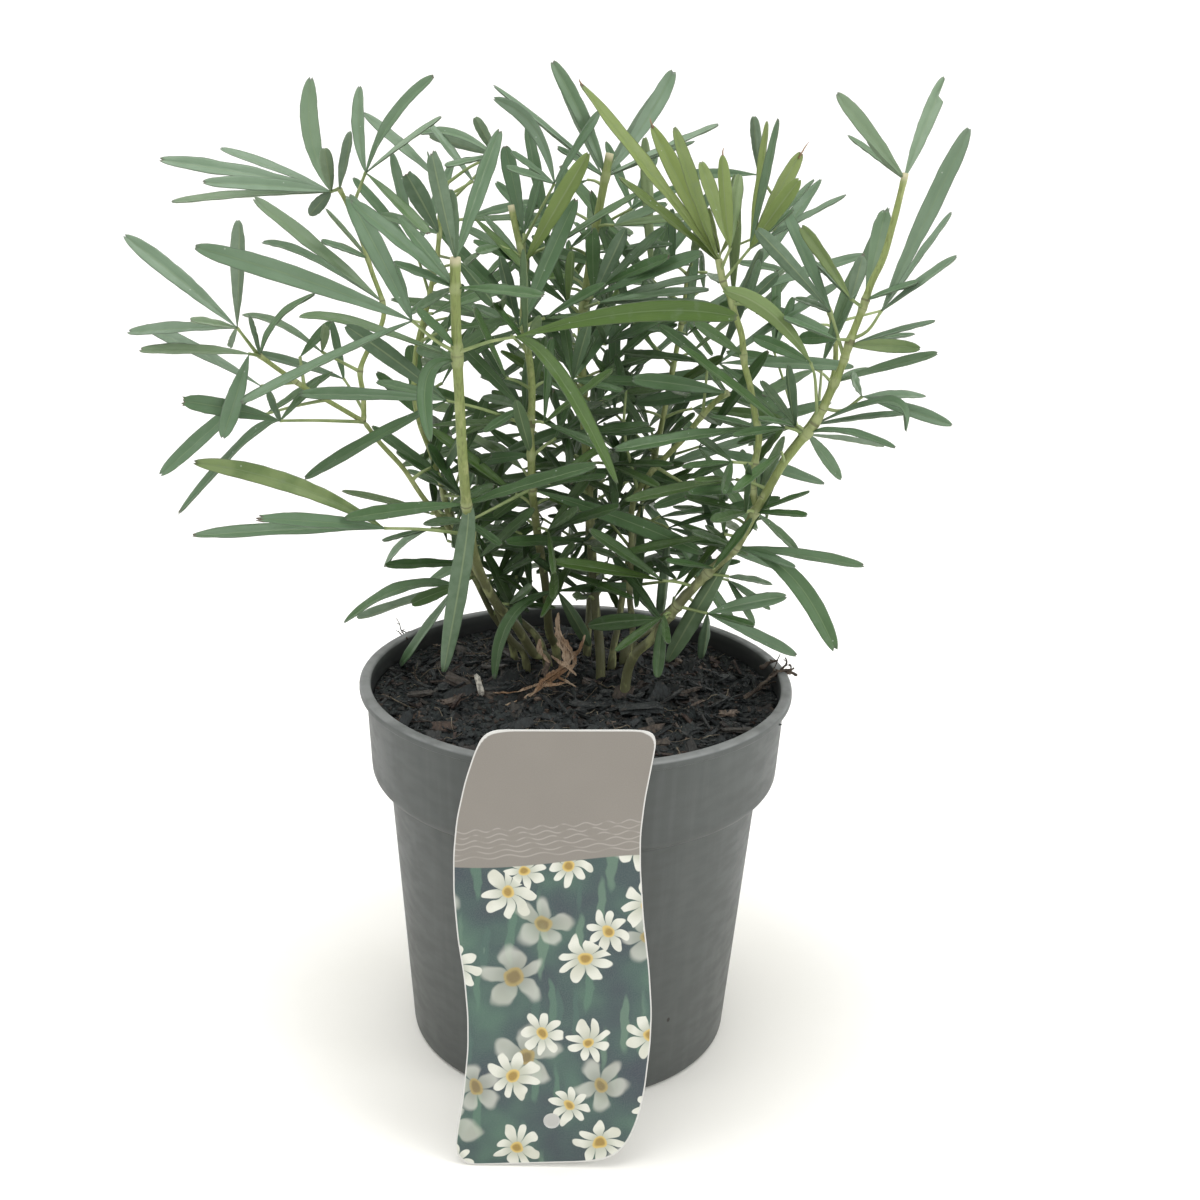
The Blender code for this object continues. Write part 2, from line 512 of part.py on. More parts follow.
def build_compost(parts, cutters):
    """Compost: a mounded turned body with bark chips, a dry husk and twigs, and stem holes."""
    profile = tuple((radius, soil_height(radius, 0.0)) for radius in SOIL_RINGS)
    edge = COLLAR_TOP_RADIUS - POT_WALL - GAP - 0.9
    profile += ((edge, SOIL_EDGE_Z),) + tuple(reversed(inner_wall(GAP))) + ((0.0, POT_FLOOR + GAP),)
    soil = turned("compost", profile, POT_SIDES, parts)
    bpy.context.view_layer.update()
    apply_modifiers(soil)
    for corner in soil.data.vertices:
        x, y, z = corner.co / MM
        if z > SOIL_EDGE_Z + 0.1:
            corner.co.z = soil_height(x, y) * MM
    bits = new_collection("compost_bits")
    feet = [foot_of(stem) for stem in STEMS]
    for index in range(CHIPS):
        turn = 2.4 * index
        reach = 14.0 + 58.0 * math.sqrt((index + 0.5) / CHIPS)
        x, y = reach * math.cos(turn), reach * math.sin(turn)
        if min(math.hypot(x - foot[0], y - foot[1]) for foot in feet) < 12.0:
            continue
        bm = bmesh.new()
        lie = Matrix.Rotation(1.7 * index, 4, 'Z') @ Matrix.Rotation(0.3 * math.sin(5.0 * index), 4, 'Y')
        place = Matrix.Translation(Vector((x, y, soil_height(x, y) + 0.4)) * MM)
        size = Matrix.Diagonal((*(Vector(CHIP_SIZE) * MM * (0.75 + 0.25 * math.sin(index))), 1.0))
        bmesh.ops.create_cube(bm, size=1.0, matrix=place @ lie @ size)
        mesh = bpy.data.meshes.new(f"chip_{index}")
        bm.to_mesh(mesh)
        bm.free()
        bits.objects.link(bpy.data.objects.new(f"chip_{index}", mesh))
    husk = [sighted(*point) for point in HUSK]
    frames = ribbon_frames(husk, (0.0, 1.0, 1.0, 0.0), HUSK_WIDTH, HUSK_WIDTH * 0.8, 1)[1:-1]
    points, faces = ribbon(husk[0], frames, husk[-1], BLADE_THICK, 0.3)
    object_from("husk", points, faces, bits)
    for index, twig in enumerate(TWIGS):
        route = [sighted(*point) for point in twig]
        tube(f"twig_{index}", route, [TWIG_RADIUS] * len(route), 1, bits)
    join_all(soil, bits, 'EXACT')
    for stem in STEMS:
        x, y, radius = foot_of(stem)
        wide = (radius + GAP) / math.cos(math.pi / HOLE_SIDES)
        cut(soil, pillar(stem + "_hole", x, y, FOOT_Z - GAP, POT_HEIGHT + 8.0, wide, HOLE_SIDES, cutters))
    bpy.context.view_layer.update()
    apply_modifiers(soil)
    soil.data.materials.clear()
    soil.data.materials.append(new_material("compost_dark", SOIL_COLOUR, 0.95))
    return soil


def build_card(parts, cutters):
    """Picture label: a flat outline of its thickness with a punched hole, leant on the lip."""
    outline = CARD_LEFT + CARD_RIGHT
    curve = bpy.data.curves.new("label_card", 'CURVE')
    curve.dimensions = '2D'
    curve.fill_mode = 'BOTH'
    curve.extrude = CARD_THICK / 2 * MM
    spline = curve.splines.new('POLY')
    spline.points.add(len(outline) - 1)
    for knot, (x, y) in zip(spline.points, outline):
        knot.co = (x * MM, y * MM, 0.0, 1.0)
    spline.use_cyclic_u = True
    card = solid_from_curve("label_card", curve, parts)
    hole = pillar("label_hole", *CARD_HOLE, -4.0, 4.0, CARD_HOLE_RADIUS, 16, cutters)
    cut(card, hole)
    bpy.context.view_layer.update()
    apply_modifiers(card)
    stand = Matrix.Rotation(math.radians(90.0) - CARD_LEAN, 4, 'X')
    card.data.transform(stand)
    hole.data.transform(stand)
    low = min(corner.co.z for corner in card.data.vertices)
    lip_z = POT_HEIGHT - LIP_ROUND
    back = RIM_RADIUS + GAP + CARD_THICK / 2 / math.cos(CARD_LEAN) + lip_z * math.tan(CARD_LEAN)
    place = Matrix.Translation(Vector((0.0, -back * MM, GAP * MM - low)))
    card.data.transform(place)
    hole.data.transform(place)
    card.data.materials.append(new_material("label_plastic", CARD_COLOUR, 0.4))
    return card


def ribbon_frames(line, shares, shown, true_width, facing):
    """Return (centre, half side vector, normal) at each point of a blade's line.

    The blade is rolled about its length until the wanted width shows from EYE, with its
    upper face looking upwards, and towards EYE (facing 1) or away from it (facing -1).
    """
    chord = (line[-1] - line[0]).normalized()
    sight = ((line[0] + line[-1]) / 2 - EYE).normalized()
    across = sight.cross(chord).normalized()
    away = chord.cross(across).normalized()
    lean = min(1.0, shown / true_width)
    roll = math.acos(lean)
    choices = []
    for turn in (roll, -roll):
        side = across * math.cos(turn) + away * math.sin(turn)
        normal = side.cross(chord)
        if normal.z < 0.0:
            normal = -normal
        choices.append((-facing * normal.dot(sight), side))
    side = max(choices, key=lambda choice: choice[0])[1]
    frames = []
    for index, centre in enumerate(line):
        ahead = line[min(index + 1, len(line) - 1)] - line[max(index - 1, 0)]
        ahead.normalize()
        level = (side - ahead * side.dot(ahead)).normalized()
        normal = level.cross(ahead)
        if normal.z < 0.0:
            normal = -normal
        frames.append((centre, level * true_width * shares[index] / 2, normal))
    return frames


def ribbon(root, frames, tip, thick, channel):
    """Loft a channelled blade from its root over the frames to its tip."""
    points = [root, tip]
    for centre, half, normal in frames:
        dip = -normal * channel * half.length * 2
        points += [centre - half, centre + dip + normal * thick / 2,
                   centre + half, centre + dip - normal * thick / 2]
    faces = []
    last = 4 * len(frames) - 2
    for edge in (0, 2):
        for mid in (1, 3):
            faces += [(0, 2 + edge, 2 + mid), (last + edge, last + mid, 1)]
            for a in range(2, last, 4):
                b = a + 4
                faces += [(a + edge, a + mid, b + mid), (a + edge, b + mid, b + edge)]
    return points, faces


def leaflet(hub, tip, crown, width, facing, spare):
    """Return the points and faces of a leaflet from its hub to its tip, and its outer part."""
    length = (tip - hub).length
    middle = (hub + tip) / 2
    if crown is None:
        flat = Vector((tip.x - hub.x, tip.y - hub.y)).length / length
        crown = middle + Vector((0, 0, 1)) * ARCH * length * flat
    bend = crown * 2 - middle
    stations = BLADE_STATIONS if length > SHORT_BLADE else SHORT_STATIONS
    line = [hub * (1 - t) ** 2 + bend * 2 * t * (1 - t) + tip * t * t for t, _ in stations]
    line[0] -= (line[1] - line[0]).normalized() * 0.6
    shares = [share for _, share in stations]
    true_width = max(width, min(BLADE_WIDEST, 3.4 + 0.085 * length))
    frames = [(centre, half + half.normalized() * spare, normal)
              for centre, half, normal in ribbon_frames(line, shares, width, true_width, facing)[1:]]
    whole = ribbon(line[0], frames, tip, BLADE_THICK + spare * 2, BLADE_CHANNEL)
    outer = ribbon(line[1], frames[1:], tip, BLADE_THICK + spare * 2, BLADE_CHANNEL)
    return whole, outer


def sleeve(points, radius):
    """Return a square sleeve round a line of points, to test the way of a petiole."""
    corners, faces = [], []
    for index, point in enumerate(points):
        ahead = (points[min(index + 1, len(points) - 1)] - points[max(index - 1, 0)]).normalized()
        side = ahead.cross(Vector((0.31, 0.87, 0.38))).normalized() * radius
        rise = ahead.cross(side)
        corners += [point + side, point + rise, point - side, point - rise]
    for index in range(len(points) - 1):
        a, b = 4 * index, 4 * index + 4
        faces += [(a + i, a + (i + 1) % 4, b + (i + 1) % 4, b + i) for i in range(4)]
    return corners, faces


class Surroundings:
    """What has been placed so far, to keep each new blade clear of it."""

    def __init__(self):
        self.solids = []

    def add(self, owner, points, faces):
        low = [min(point[i] for point in points) for i in range(3)]
        high = [max(point[i] for point in points) for i in range(3)]
        self.solids.append((owner, low, high, BVHTree.FromPolygons(points, faces)))

    def add_object(self, owner, made):
        points = [made.matrix_world @ corner.co / MM for corner in made.data.vertices]
        self.add(owner, points, [tuple(face.vertices) for face in made.data.polygons])

    def touches(self, points, faces, owner, same):
        """Say whether the shape meets a solid of the owner (same) or of another (not same)."""
        low = [min(point[i] for point in points) for i in range(3)]
        high = [max(point[i] for point in points) for i in range(3)]
        tree = None
        for other, other_low, other_high, other_tree in self.solids:
            if (other == owner) != same:
                continue
            if any(low[i] > other_high[i] or high[i] < other_low[i] for i in range(3)):
                continue
            if tree is None:
                tree = BVHTree.FromPolygons(points, faces)
            if tree.overlap(other_tree):
                return True
        return False


def on_route(routes, x, z):
    """Return the sighted point (x, z, y) of the routes that is nearest to x, z."""
    best = None
    for route in routes:
        for start, end in zip(route, route[1:]):
            run = Vector((end[0] - start[0], end[1] - start[1]))
            share = Vector((x - start[0], z - start[1])).dot(run) / max(run.length_squared, 1e-6)
            share = min(1.0, max(0.0, share))
            point = tuple(a + (b - a) * share for a, b in zip(start, end))
            apart = math.hypot(point[0] - x, point[1] - z)
            if best is None or apart < best[0]:
                best = (apart, point)
    return best


def leaf_list(stem):
    """Return a stem's leaves: its own, and those that stand behind leaves of front stems."""
    leaves = [(leaf, 1) for leaf in STEMS[stem].get("leaves", ())]
    routes = STEMS[stem]["routes"]
    for start, hub, way in STEMS[stem].get("sprays", ()):
        tips = tuple((hub[0] + length * math.cos(math.radians(way + fan)),
                      hub[1] + length * math.sin(math.radians(way + fan)), SPRAY_WIDTH)
                     for fan, length in SPRAY_FAN)
        side = SPRAY_STEP if len(leaves) % 2 else -SPRAY_STEP
        leaves.append((((start, hub), on_route(routes, *start)[1][2] + side, tips), 1))
    for front, first in STEMS[stem].get("behind", ()):
        for path, _, tips in STEMS[front]["leaves"][first::BEHIND_EVERY]:
            hub = path[-1]
            apart, start = on_route(routes, *hub)
            if apart > BEHIND_REACH or hub[1] < 172:
                continue
            back = tuple((hub[0] + (tip[0] - hub[0]) * BEHIND_SHORTER,
                          hub[1] + (tip[1] - hub[1]) * BEHIND_SHORTER,
                          min(tip[2], BEHIND_WIDTH)) for tip in tips[:3])
            leaves.append((((start[:2], hub), start[2] + BEHIND_STEP, back), -1))
    return leaves


def place_leaf(stem, leaf, facing, around, pieces, label):
    """Make one leaf: its petiole, then its leaflets, each bent clear of what stands there."""
    path, depth, tips = leaf
    routes = STEMS[stem]["routes"]
    start = on_route(routes, *path[0])[1]
    hub_depth = start[2] if depth is None else depth
    hub = sighted(*start)
    if len(path) > 1:
        for shift in HUB_SHIFTS:
            depths = [start[2] + (hub_depth + shift - start[2]) * i / (len(path) - 1)
                      for i in range(len(path))]
            way = [sighted(*start)] + [sighted(x, z, y) for (x, z), y in zip(path[1:], depths[1:])]
            if not around.touches(*sleeve(way, PETIOLE_RADIUS + CLEARANCE), stem, False):
                break
        hub_depth += shift
        hub = way[-1].copy()
        way[-1] += (way[-1] - way[-2]).normalized() * 0.8
        tube(f"{label}_petiole", way, [PETIOLE_RADIUS] * len(way), 0, pieces)
        around.add(stem, *sleeve(way, PETIOLE_RADIUS))
    hub_x, hub_z = path[-1] if len(path) > 1 else start[:2]
    for index, tip in enumerate(tips):
        seen = math.hypot(tip[0] - hub_x, tip[1] - hub_z)
        full = LEAFLET_LENGTH if tip[2] > NARROW_WIDTH else NARROW_LENGTH
        reach = min(DEPTH_LIMIT, math.sqrt(max(full * full - seen * seen, (0.3 * seen) ** 2)))
        fan = DEPTH_FAN[(index + len(path)) % len(DEPTH_FAN)]
        fan = abs(fan) if facing < 0 else fan
        chosen = None
        for shift in TIP_SHIFTS:
            end_depth = hub_depth + reach * fan + shift
            end = sighted(tip[0], tip[1], end_depth)
            crown = sighted(tip[3], tip[4], (hub_depth + end_depth) / 2) if len(tip) > 3 else None
            whole, outer = leaflet(hub, end, crown, tip[2], facing, CLEARANCE)
            if around.touches(*whole, stem, False):
                continue
            if chosen is None:
                chosen = (end, crown)
            if not around.touches(*outer, stem, True):
                chosen = (end, crown)
                break
        if chosen is None:
            continue
        points, faces = leaflet(hub, *chosen, tip[2], facing, 0.0)[0]
        object_from(f"{label}_leaflet_{index}", points, faces, pieces)
        around.add(stem, points, faces)


def build_stem_routes(stem, parts, around):
    """Make the woody part of a leafy stem: the stem from its foot, and its forks."""
    routes = STEMS[stem]["routes"]
    thick_foot, thick_top = STEMS[stem]["thick"]
    woody = []
    for number, route in enumerate(routes):
        way = [sighted(*point) for point in route]
        if number == 0:
            base = way[0]
            way[0] = Vector((base.x, base.y, FOOT_Z))
            way.insert(1, Vector((base.x, base.y, FOOT_TOP_Z)))
        share = [index / (len(way) - 1) for index in range(len(way))]
        start = thick_foot if number == 0 else (thick_foot * 0.45 + thick_top * 0.55)
        radii = [(start + (thick_top - start) * s) / 2 for s in share]
        woody.append(tube(f"{stem}_wood_{number}", way, radii, 1, parts))
        around.add_object(stem, woody[-1])
    return woody


def build_stems(parts, around):
    """Make every leafy stem as one solid: wood, petioles and leaflets fused."""
    green = new_material("leaf_green", LEAF_COLOUR, 0.45)
    woods = {stem: build_stem_routes(stem, parts, around) for stem in STEMS}
    for stem, wood in woods.items():
        pieces = new_collection(stem + "_pieces")
        body = wood[0]
        body.name = stem
        for fork in wood[1:]:
            parts.objects.unlink(fork)
            pieces.objects.link(fork)
        for number, (leaf, facing) in enumerate(leaf_list(stem)):
            place_leaf(stem, leaf, facing, around, pieces, f"{stem}_leaf_{number}")
        join_all(body, pieces, 'MANIFOLD')
        body.data.materials.clear()
        body.data.materials.append(green.copy())


clear_scene()
shrub = new_collection("potted_mexican_orange")
guides = new_collection("guides")
placed = Surroundings()
placed.add_object("pot", build_pot(shrub, guides))
placed.add_object("compost", build_compost(shrub, guides))
placed.add_object("label_card", build_card(shrub, guides))
build_stems(shrub, placed)
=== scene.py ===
"""Looks of the potted mexican orange: a narrow-leaved shrub in a dark grey nursery pot of bark
compost, with its picture label leaning on the front.

Sizes are in millimetres and MM turns them into metres. The origin is the middle of the pot's
underside, the front is -Y and up is +Z.
"""
import json
import math
import random

import bpy
import numpy as np
from mathutils import Matrix, Vector, noise
from mathutils.geometry import intersect_point_line
from mathutils.kdtree import KDTree

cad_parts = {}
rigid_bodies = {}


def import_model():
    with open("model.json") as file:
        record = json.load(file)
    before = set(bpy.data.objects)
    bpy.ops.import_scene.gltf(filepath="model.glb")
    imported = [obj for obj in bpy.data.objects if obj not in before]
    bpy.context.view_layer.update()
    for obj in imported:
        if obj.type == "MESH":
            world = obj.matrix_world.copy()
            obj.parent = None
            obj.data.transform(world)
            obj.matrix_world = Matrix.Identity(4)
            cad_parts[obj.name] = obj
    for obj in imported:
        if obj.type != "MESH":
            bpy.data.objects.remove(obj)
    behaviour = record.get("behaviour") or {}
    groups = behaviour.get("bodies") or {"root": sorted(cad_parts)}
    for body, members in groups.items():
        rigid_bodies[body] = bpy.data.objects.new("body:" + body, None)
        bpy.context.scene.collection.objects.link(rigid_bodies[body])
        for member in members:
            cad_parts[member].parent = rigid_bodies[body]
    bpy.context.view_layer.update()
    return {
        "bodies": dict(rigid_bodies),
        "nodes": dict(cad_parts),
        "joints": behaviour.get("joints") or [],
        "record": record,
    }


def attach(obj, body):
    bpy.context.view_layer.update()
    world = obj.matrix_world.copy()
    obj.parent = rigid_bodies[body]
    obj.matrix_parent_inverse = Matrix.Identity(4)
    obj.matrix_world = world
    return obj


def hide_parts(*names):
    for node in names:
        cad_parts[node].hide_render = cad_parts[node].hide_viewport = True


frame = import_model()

# Nursery pot: a thin shell of matt recycled plastic, injection moulded in one piece, with a straight
# lower wall, a rounded step, a wider collar, a rolled lip and drain holes round its flat floor.
# Its rings are extruded one from the other, from the middle of the floor up inside and down outside.
MM = 0.001
POT_HEIGHT = 152.0
RIM_RADIUS = 85.0
LIP_HEIGHT = 3.4
COLLAR_TOP_RADIUS = 82.3
COLLAR_FOOT_RADIUS = 80.5
COLLAR_FOOT_Z = 117.0
STEP_Z = 111.5
WAIST_RADIUS = 73.5
BASE_RADIUS = 65.0
POT_WALL = 1.7
POT_FLOOR = 2.0
POT_SIDES = 144
POT_MIDDLE = 0.5
DRAIN_HOLES = 8
DRAIN_RADIUS = 5.0
DRAIN_RING = 46.0
DRAIN_TURN = 0.37
SMOOTH_ANGLE = math.radians(42.0)


def start_piece():
    """Leave nothing selected, so that an operator acts on the new piece alone."""
    bpy.ops.object.select_all(action='DESELECT')


def finish_piece(piece, name, slot, *nodes):
    """Put the piece's place into its mesh, name it, and let it ride and stand for its nodes."""
    piece.name = name
    piece.data.name = name
    piece.data.transform(piece.matrix_world)
    piece.matrix_world = Matrix.Identity(4)
    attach(piece, "root")
    if nodes:
        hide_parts(*nodes)


def extruded_rings(rings, sides):
    """Make a closed turned shape of (radius, height) rings, each extruded from the one before."""
    start_piece()
    radius, height = rings[0]
    bpy.ops.mesh.primitive_circle_add(vertices=sides, radius=radius * MM, fill_type='NOTHING',
                                      location=(0, 0, height * MM))
    piece = bpy.context.object
    bpy.ops.object.mode_set(mode='EDIT')
    bpy.ops.mesh.select_all(action='SELECT')
    bpy.ops.mesh.edge_face_add()
    for (old, low), (new, high) in zip(rings, rings[1:]):
        bpy.ops.mesh.extrude_region_move(TRANSFORM_OT_translate={"value": (0, 0, (high - low) * MM)})
        bpy.ops.transform.resize(value=(new / old, new / old, 1.0), center_override=(0, 0, high * MM))
    bpy.ops.mesh.select_all(action='SELECT')
    bpy.ops.mesh.normals_make_consistent(inside=False)
    bpy.ops.object.mode_set(mode='OBJECT')
    return piece


def rounded(radius, height, bulge, start, end, steps=4):
    """Return rings along a quarter-round or other arc about (radius, height), angles in degrees."""
    turns = [math.radians(start + (end - start) * step / steps) for step in range(steps + 1)]
    return [(radius + bulge * math.cos(turn), height + bulge * math.sin(turn)) for turn in turns]


def drill_hole(piece, name, radius, sides, depth, middle):
    """Drill a round upright hole through the piece."""
    start_piece()
    bpy.ops.mesh.primitive_cylinder_add(vertices=sides, radius=radius * MM, depth=depth * MM,
                                        location=[side * MM for side in middle])
    drill = bpy.context.object
    hole = piece.modifiers.new(name, 'BOOLEAN')
    hole.operation = 'DIFFERENCE'
    hole.object = drill
    bpy.context.view_layer.objects.active = piece
    bpy.ops.object.modifier_apply(modifier=hole.name)
    bpy.data.objects.remove(drill)


def new_material(name, roughness, specular):
    """Start a material with the finish that is the same all over the piece."""
    material = bpy.data.materials.new(name)
    material.use_nodes = True
    shader = material.node_tree.nodes["Principled BSDF"]
    shader.inputs["Roughness"].default_value = roughness
    shader.inputs["Specular IOR Level"].default_value = specular
    return material


def add_node(tree, kind, inputs=None, **settings):
    """Add a node to a tree, with values or links on its inputs."""
    node = tree.nodes.new(kind)
    for name, value in settings.items():
        setattr(node, name, value)
    for socket, value in (inputs or {}).items():
        if isinstance(value, bpy.types.NodeSocket):
            tree.links.new(value, node.inputs[socket])
        else:
            node.inputs[socket].default_value = value
    return node


def cloudy(place, stretch, detail, scale=1.0):
    """Return a cloudy pattern that reads the place through a stretch."""
    tree = place.id_data
    mapping = add_node(tree, "ShaderNodeMapping", {"Vector": place, "Scale": stretch})
    clouds = {"Vector": mapping.outputs[0], "Scale": scale, "Detail": detail}
    return add_node(tree, "ShaderNodeTexNoise", clouds).outputs["Fac"]


def speckled(place, stretch):
    """Return a speckled pattern: how far the place, read through a stretch, is from its speck."""
    tree = place.id_data
    mapping = add_node(tree, "ShaderNodeMapping", {"Vector": place, "Scale": stretch})
    specks = {"Vector": mapping.outputs[0], "Scale": 1.0}
    return add_node(tree, "ShaderNodeTexVoronoi", specks).outputs["Distance"]


def ramp(factor, *stops):
    """Turn a factor into a colour by (position, colour) stops."""
    node = add_node(factor.id_data, "ShaderNodeValToRGB", {0: factor})
    elements = node.color_ramp.elements
    while len(elements) < len(stops):
        elements.new(0.5)
    for element, (position, colour) in zip(elements, stops):
        element.position = position
        element.color = (*colour, 1.0)
    return node.outputs[0]


def mixed(factor, under, over):
    """Lay one colour over another by a factor."""
    layers = {0: factor, 6: under, 7: over}
    for socket in (6, 7):
        if not isinstance(layers[socket], bpy.types.NodeSocket):
            layers[socket] = (*layers[socket], 1.0)
    return add_node(factor.id_data, "ShaderNodeMix", layers, data_type='RGBA').outputs[2]


def between(value, low, high, new_low=0.0, new_high=1.0):
    """Spread a value from one range to another, smoothly and clamped."""
    spread = {0: value, 1: low, 2: high, 3: new_low, 4: new_high}
    smooth = add_node(value.id_data, "ShaderNodeMapRange", spread, interpolation_type='SMOOTHSTEP')
    return smooth.outputs[0]


def washed(under, over, value, low, high, most=1.0):
    """Lay a colour over another where a value goes from low to high, at most this strongly."""
    return mixed(between(value, low, high, 0.0, most), under, over)


def sums(operation, first, second=0.0):
    """Return the result of one sum, whose first number comes from another node."""
    terms = {0: first, 1: second}
    return add_node(first.id_data, "ShaderNodeMath", terms, operation=operation).outputs[0]


def plus(first, second):
    """Add two values."""
    return sums('ADD', first, second)


def minus(first, second):
    """Take the second value from the first."""
    return sums('SUBTRACT', first, second)


def times(first, second):
    """Multiply two values."""
    return sums('MULTIPLY', first, second)


def apart(place):
    """Return the x, y and z of a place."""
    return add_node(place.id_data, "ShaderNodeSeparateXYZ", {0: place}).outputs


def dress(material, colour, roughness=None, bumps=()):
    """Link the colour, the roughness and the (height, strength, distance) bumps to the shader."""
    tree = material.node_tree
    shader = tree.nodes["Principled BSDF"]
    tree.links.new(colour, shader.inputs["Base Color"])
    if roughness is not None:
        tree.links.new(roughness, shader.inputs["Roughness"])
    normal = None
    for height, strength, distance in bumps:
        bump = add_node(tree, "ShaderNodeBump",
                        {"Height": height, "Strength": strength, "Distance": distance * MM})
        if normal is not None:
            tree.links.new(normal, bump.inputs["Normal"])
        normal = bump.outputs[0]
    if normal is not None:
        tree.links.new(normal, shader.inputs["Normal"])


def object_place(material):
    """Return the place on the piece, for the patterns of its material."""
    return add_node(material.node_tree, "ShaderNodeTexCoord").outputs["Object"]


pot_inside = COLLAR_TOP_RADIUS - POT_WALL
lip_foot = POT_HEIGHT - LIP_HEIGHT
pot_rings = [(POT_MIDDLE, POT_FLOOR), (30.0, POT_FLOOR)]
pot_rings += rounded(BASE_RADIUS - POT_WALL - 2.0, POT_FLOOR + 2.0, 2.0, -90, 0)
pot_rings += [(WAIST_RADIUS - POT_WALL, STEP_Z), (COLLAR_FOOT_RADIUS - POT_WALL, COLLAR_FOOT_Z)]
pot_rings += [(pot_inside, lip_foot)]
pot_rings += rounded(pot_inside + 1.1, POT_HEIGHT - 1.1, 1.1, 180, 90)
pot_rings += rounded(RIM_RADIUS - 1.2, POT_HEIGHT - 1.2, 1.2, 90, 0)
pot_rings += rounded(RIM_RADIUS - 0.8, lip_foot + 0.8, 0.8, 0, -90)
pot_rings += rounded(COLLAR_TOP_RADIUS + 0.6, lip_foot - 0.6, 0.6, 90, 180)
pot_rings += [(COLLAR_FOOT_RADIUS + 0.3, COLLAR_FOOT_Z + 4.0)]
pot_rings += rounded(COLLAR_FOOT_RADIUS - 4.2, COLLAR_FOOT_Z + 0.8, 4.3, 0, -50)
pot_rings += rounded(WAIST_RADIUS + 2.6, STEP_Z - 1.6, 2.6, 125, 180)
pot_rings += [(69.5, 60.0)]
pot_rings += rounded(BASE_RADIUS - 2.4, 2.4, 2.4, 2, -90)
pot_rings += [(58.0, 0.0), (56.5, 0.6), (POT_MIDDLE, 0.6)]
pot = extruded_rings(pot_rings, POT_SIDES)
for index in range(DRAIN_HOLES):
    turn = math.tau * (index + DRAIN_TURN) / DRAIN_HOLES
    drill_hole(pot, "drain hole", DRAIN_RADIUS, 32, 12.0,
               (DRAIN_RING * math.cos(turn), DRAIN_RING * math.sin(turn), POT_FLOOR / 2))
start_piece()
pot.select_set(True)
bpy.ops.object.shade_smooth_by_angle(angle=SMOOTH_ANGLE)
finish_piece(pot, "pot_shell", "pot_plastic", "pot")

pot_plastic = new_material("pot_plastic", 0.6, 0.42)
place = object_place(pot_plastic)
clouds = cloudy(place, (9, 9, 14), 4.0, 2.2)
streaks = cloudy(place, (260, 260, 7), 3.0)
grain = cloudy(place, (2600, 2600, 2600), 2.0)
scuffs = cloudy(place, (55, 55, 150), 8.0, 1.6)
dirt = speckled(place, (85, 85, 60))
dirt_here = cloudy(place, (24, 24, 24), 1.0)
wall_x, wall_y, height = apart(place)
grey = ramp(clouds, (0.3, (0.060, 0.067, 0.063)), (0.7, (0.065, 0.072, 0.068)))
grey = washed(grey, (0.101, 0.109, 0.105), streaks, 0.42, 0.72, 0.22)
grey = washed(grey, (0.16, 0.165, 0.158), scuffs, 0.66, 0.80, 0.10)
splash = times(between(height, 0.150, 0.128), between(scuffs, 0.35, 0.6))
grey = mixed(times(splash, 0.12), grey, (0.052, 0.050, 0.044))
speck = times(between(dirt, 0.075, 0.045), between(dirt_here, 0.55, 0.60))
grey = mixed(speck, grey, (0.018, 0.015, 0.012))
round_square = plus(times(wall_x, wall_x), times(wall_y, wall_y))
inward = times(between(sums('POWER', round_square, 0.5), 0.0812, 0.0808), between(height, 0.130, 0.137))
# The top of the lip is painted paler: partly wear and partly a painted highlight along its edge.
worn = times(between(height, 0.1508, 0.1516), between(scuffs, 0.30, 0.60, 0.25, 0.75))
grey = mixed(worn, grey, (0.235, 0.245, 0.240))
# Inside the wall, just under the lip, the grey is darkened: painted shade in that recess, with some soil
# dust.
inner_shade_and_dust = between(scuffs, 0.30, 0.62, 0.80, 0.97)
inner_shade_and_dust = times(times(inward, inner_shade_and_dust), between(height, 0.1510, 0.1475))
grey = mixed(inner_shade_and_dust, grey, (0.024, 0.026, 0.026))
dress(pot_plastic, grey, between(scuffs, 0.3, 0.75, 0.46, 0.58),
      ((grain, 0.25, 0.10), (streaks, 0.14, 0.10)))
pot.data.materials.append(pot_plastic)

# Compost: a moist mix of bark and peat, filled to a little below the lip and mounded round the
# stems. Its body is turned like the pot's inside, and its top is raised in lumps by a formula.
SOIL_EDGE_Z = 139.0
SOIL_MOUND = 7.6
SOIL_POWER = 2.6
SOIL_GAP = 0.35
SOIL_SIDES = 200
SOIL_RING_STEP = 1.6
SOIL_BANK = 5.2


def soil_height(x, y):
    """Return the height of the compost at x, y: a low mound with shallow lumps."""
    reach = min(1.0, math.hypot(x, y) / (COLLAR_TOP_RADIUS - POT_WALL))
    lumps = math.sin(0.21 * x + 1.3) * math.cos(0.26 * y + 0.4) + 0.5 * math.sin(0.47 * x - 0.33 * y)
    return SOIL_EDGE_Z + SOIL_MOUND * (1.0 - reach ** SOIL_POWER) + 0.9 * lumps * (1.0 - reach ** 8)


def crumbly_height(x, y):
    """Return the height of the compost with its crumbs and hollows."""
    reach = min(1.0, math.hypot(x, y) / (COLLAR_TOP_RADIUS - POT_WALL))
    coarse = noise.fractal(Vector((x, y, 0)) * 0.16, 1.0, 2.0, 4)
    fine = noise.cell(Vector((x, y, 3.0)) * 0.55) - 0.5
    crumbs = (1.5 * coarse + 0.6 * fine) * (1.0 - 0.6 * reach ** 10)
    return soil_height(x, y) + SOIL_BANK * reach ** 9 + crumbs


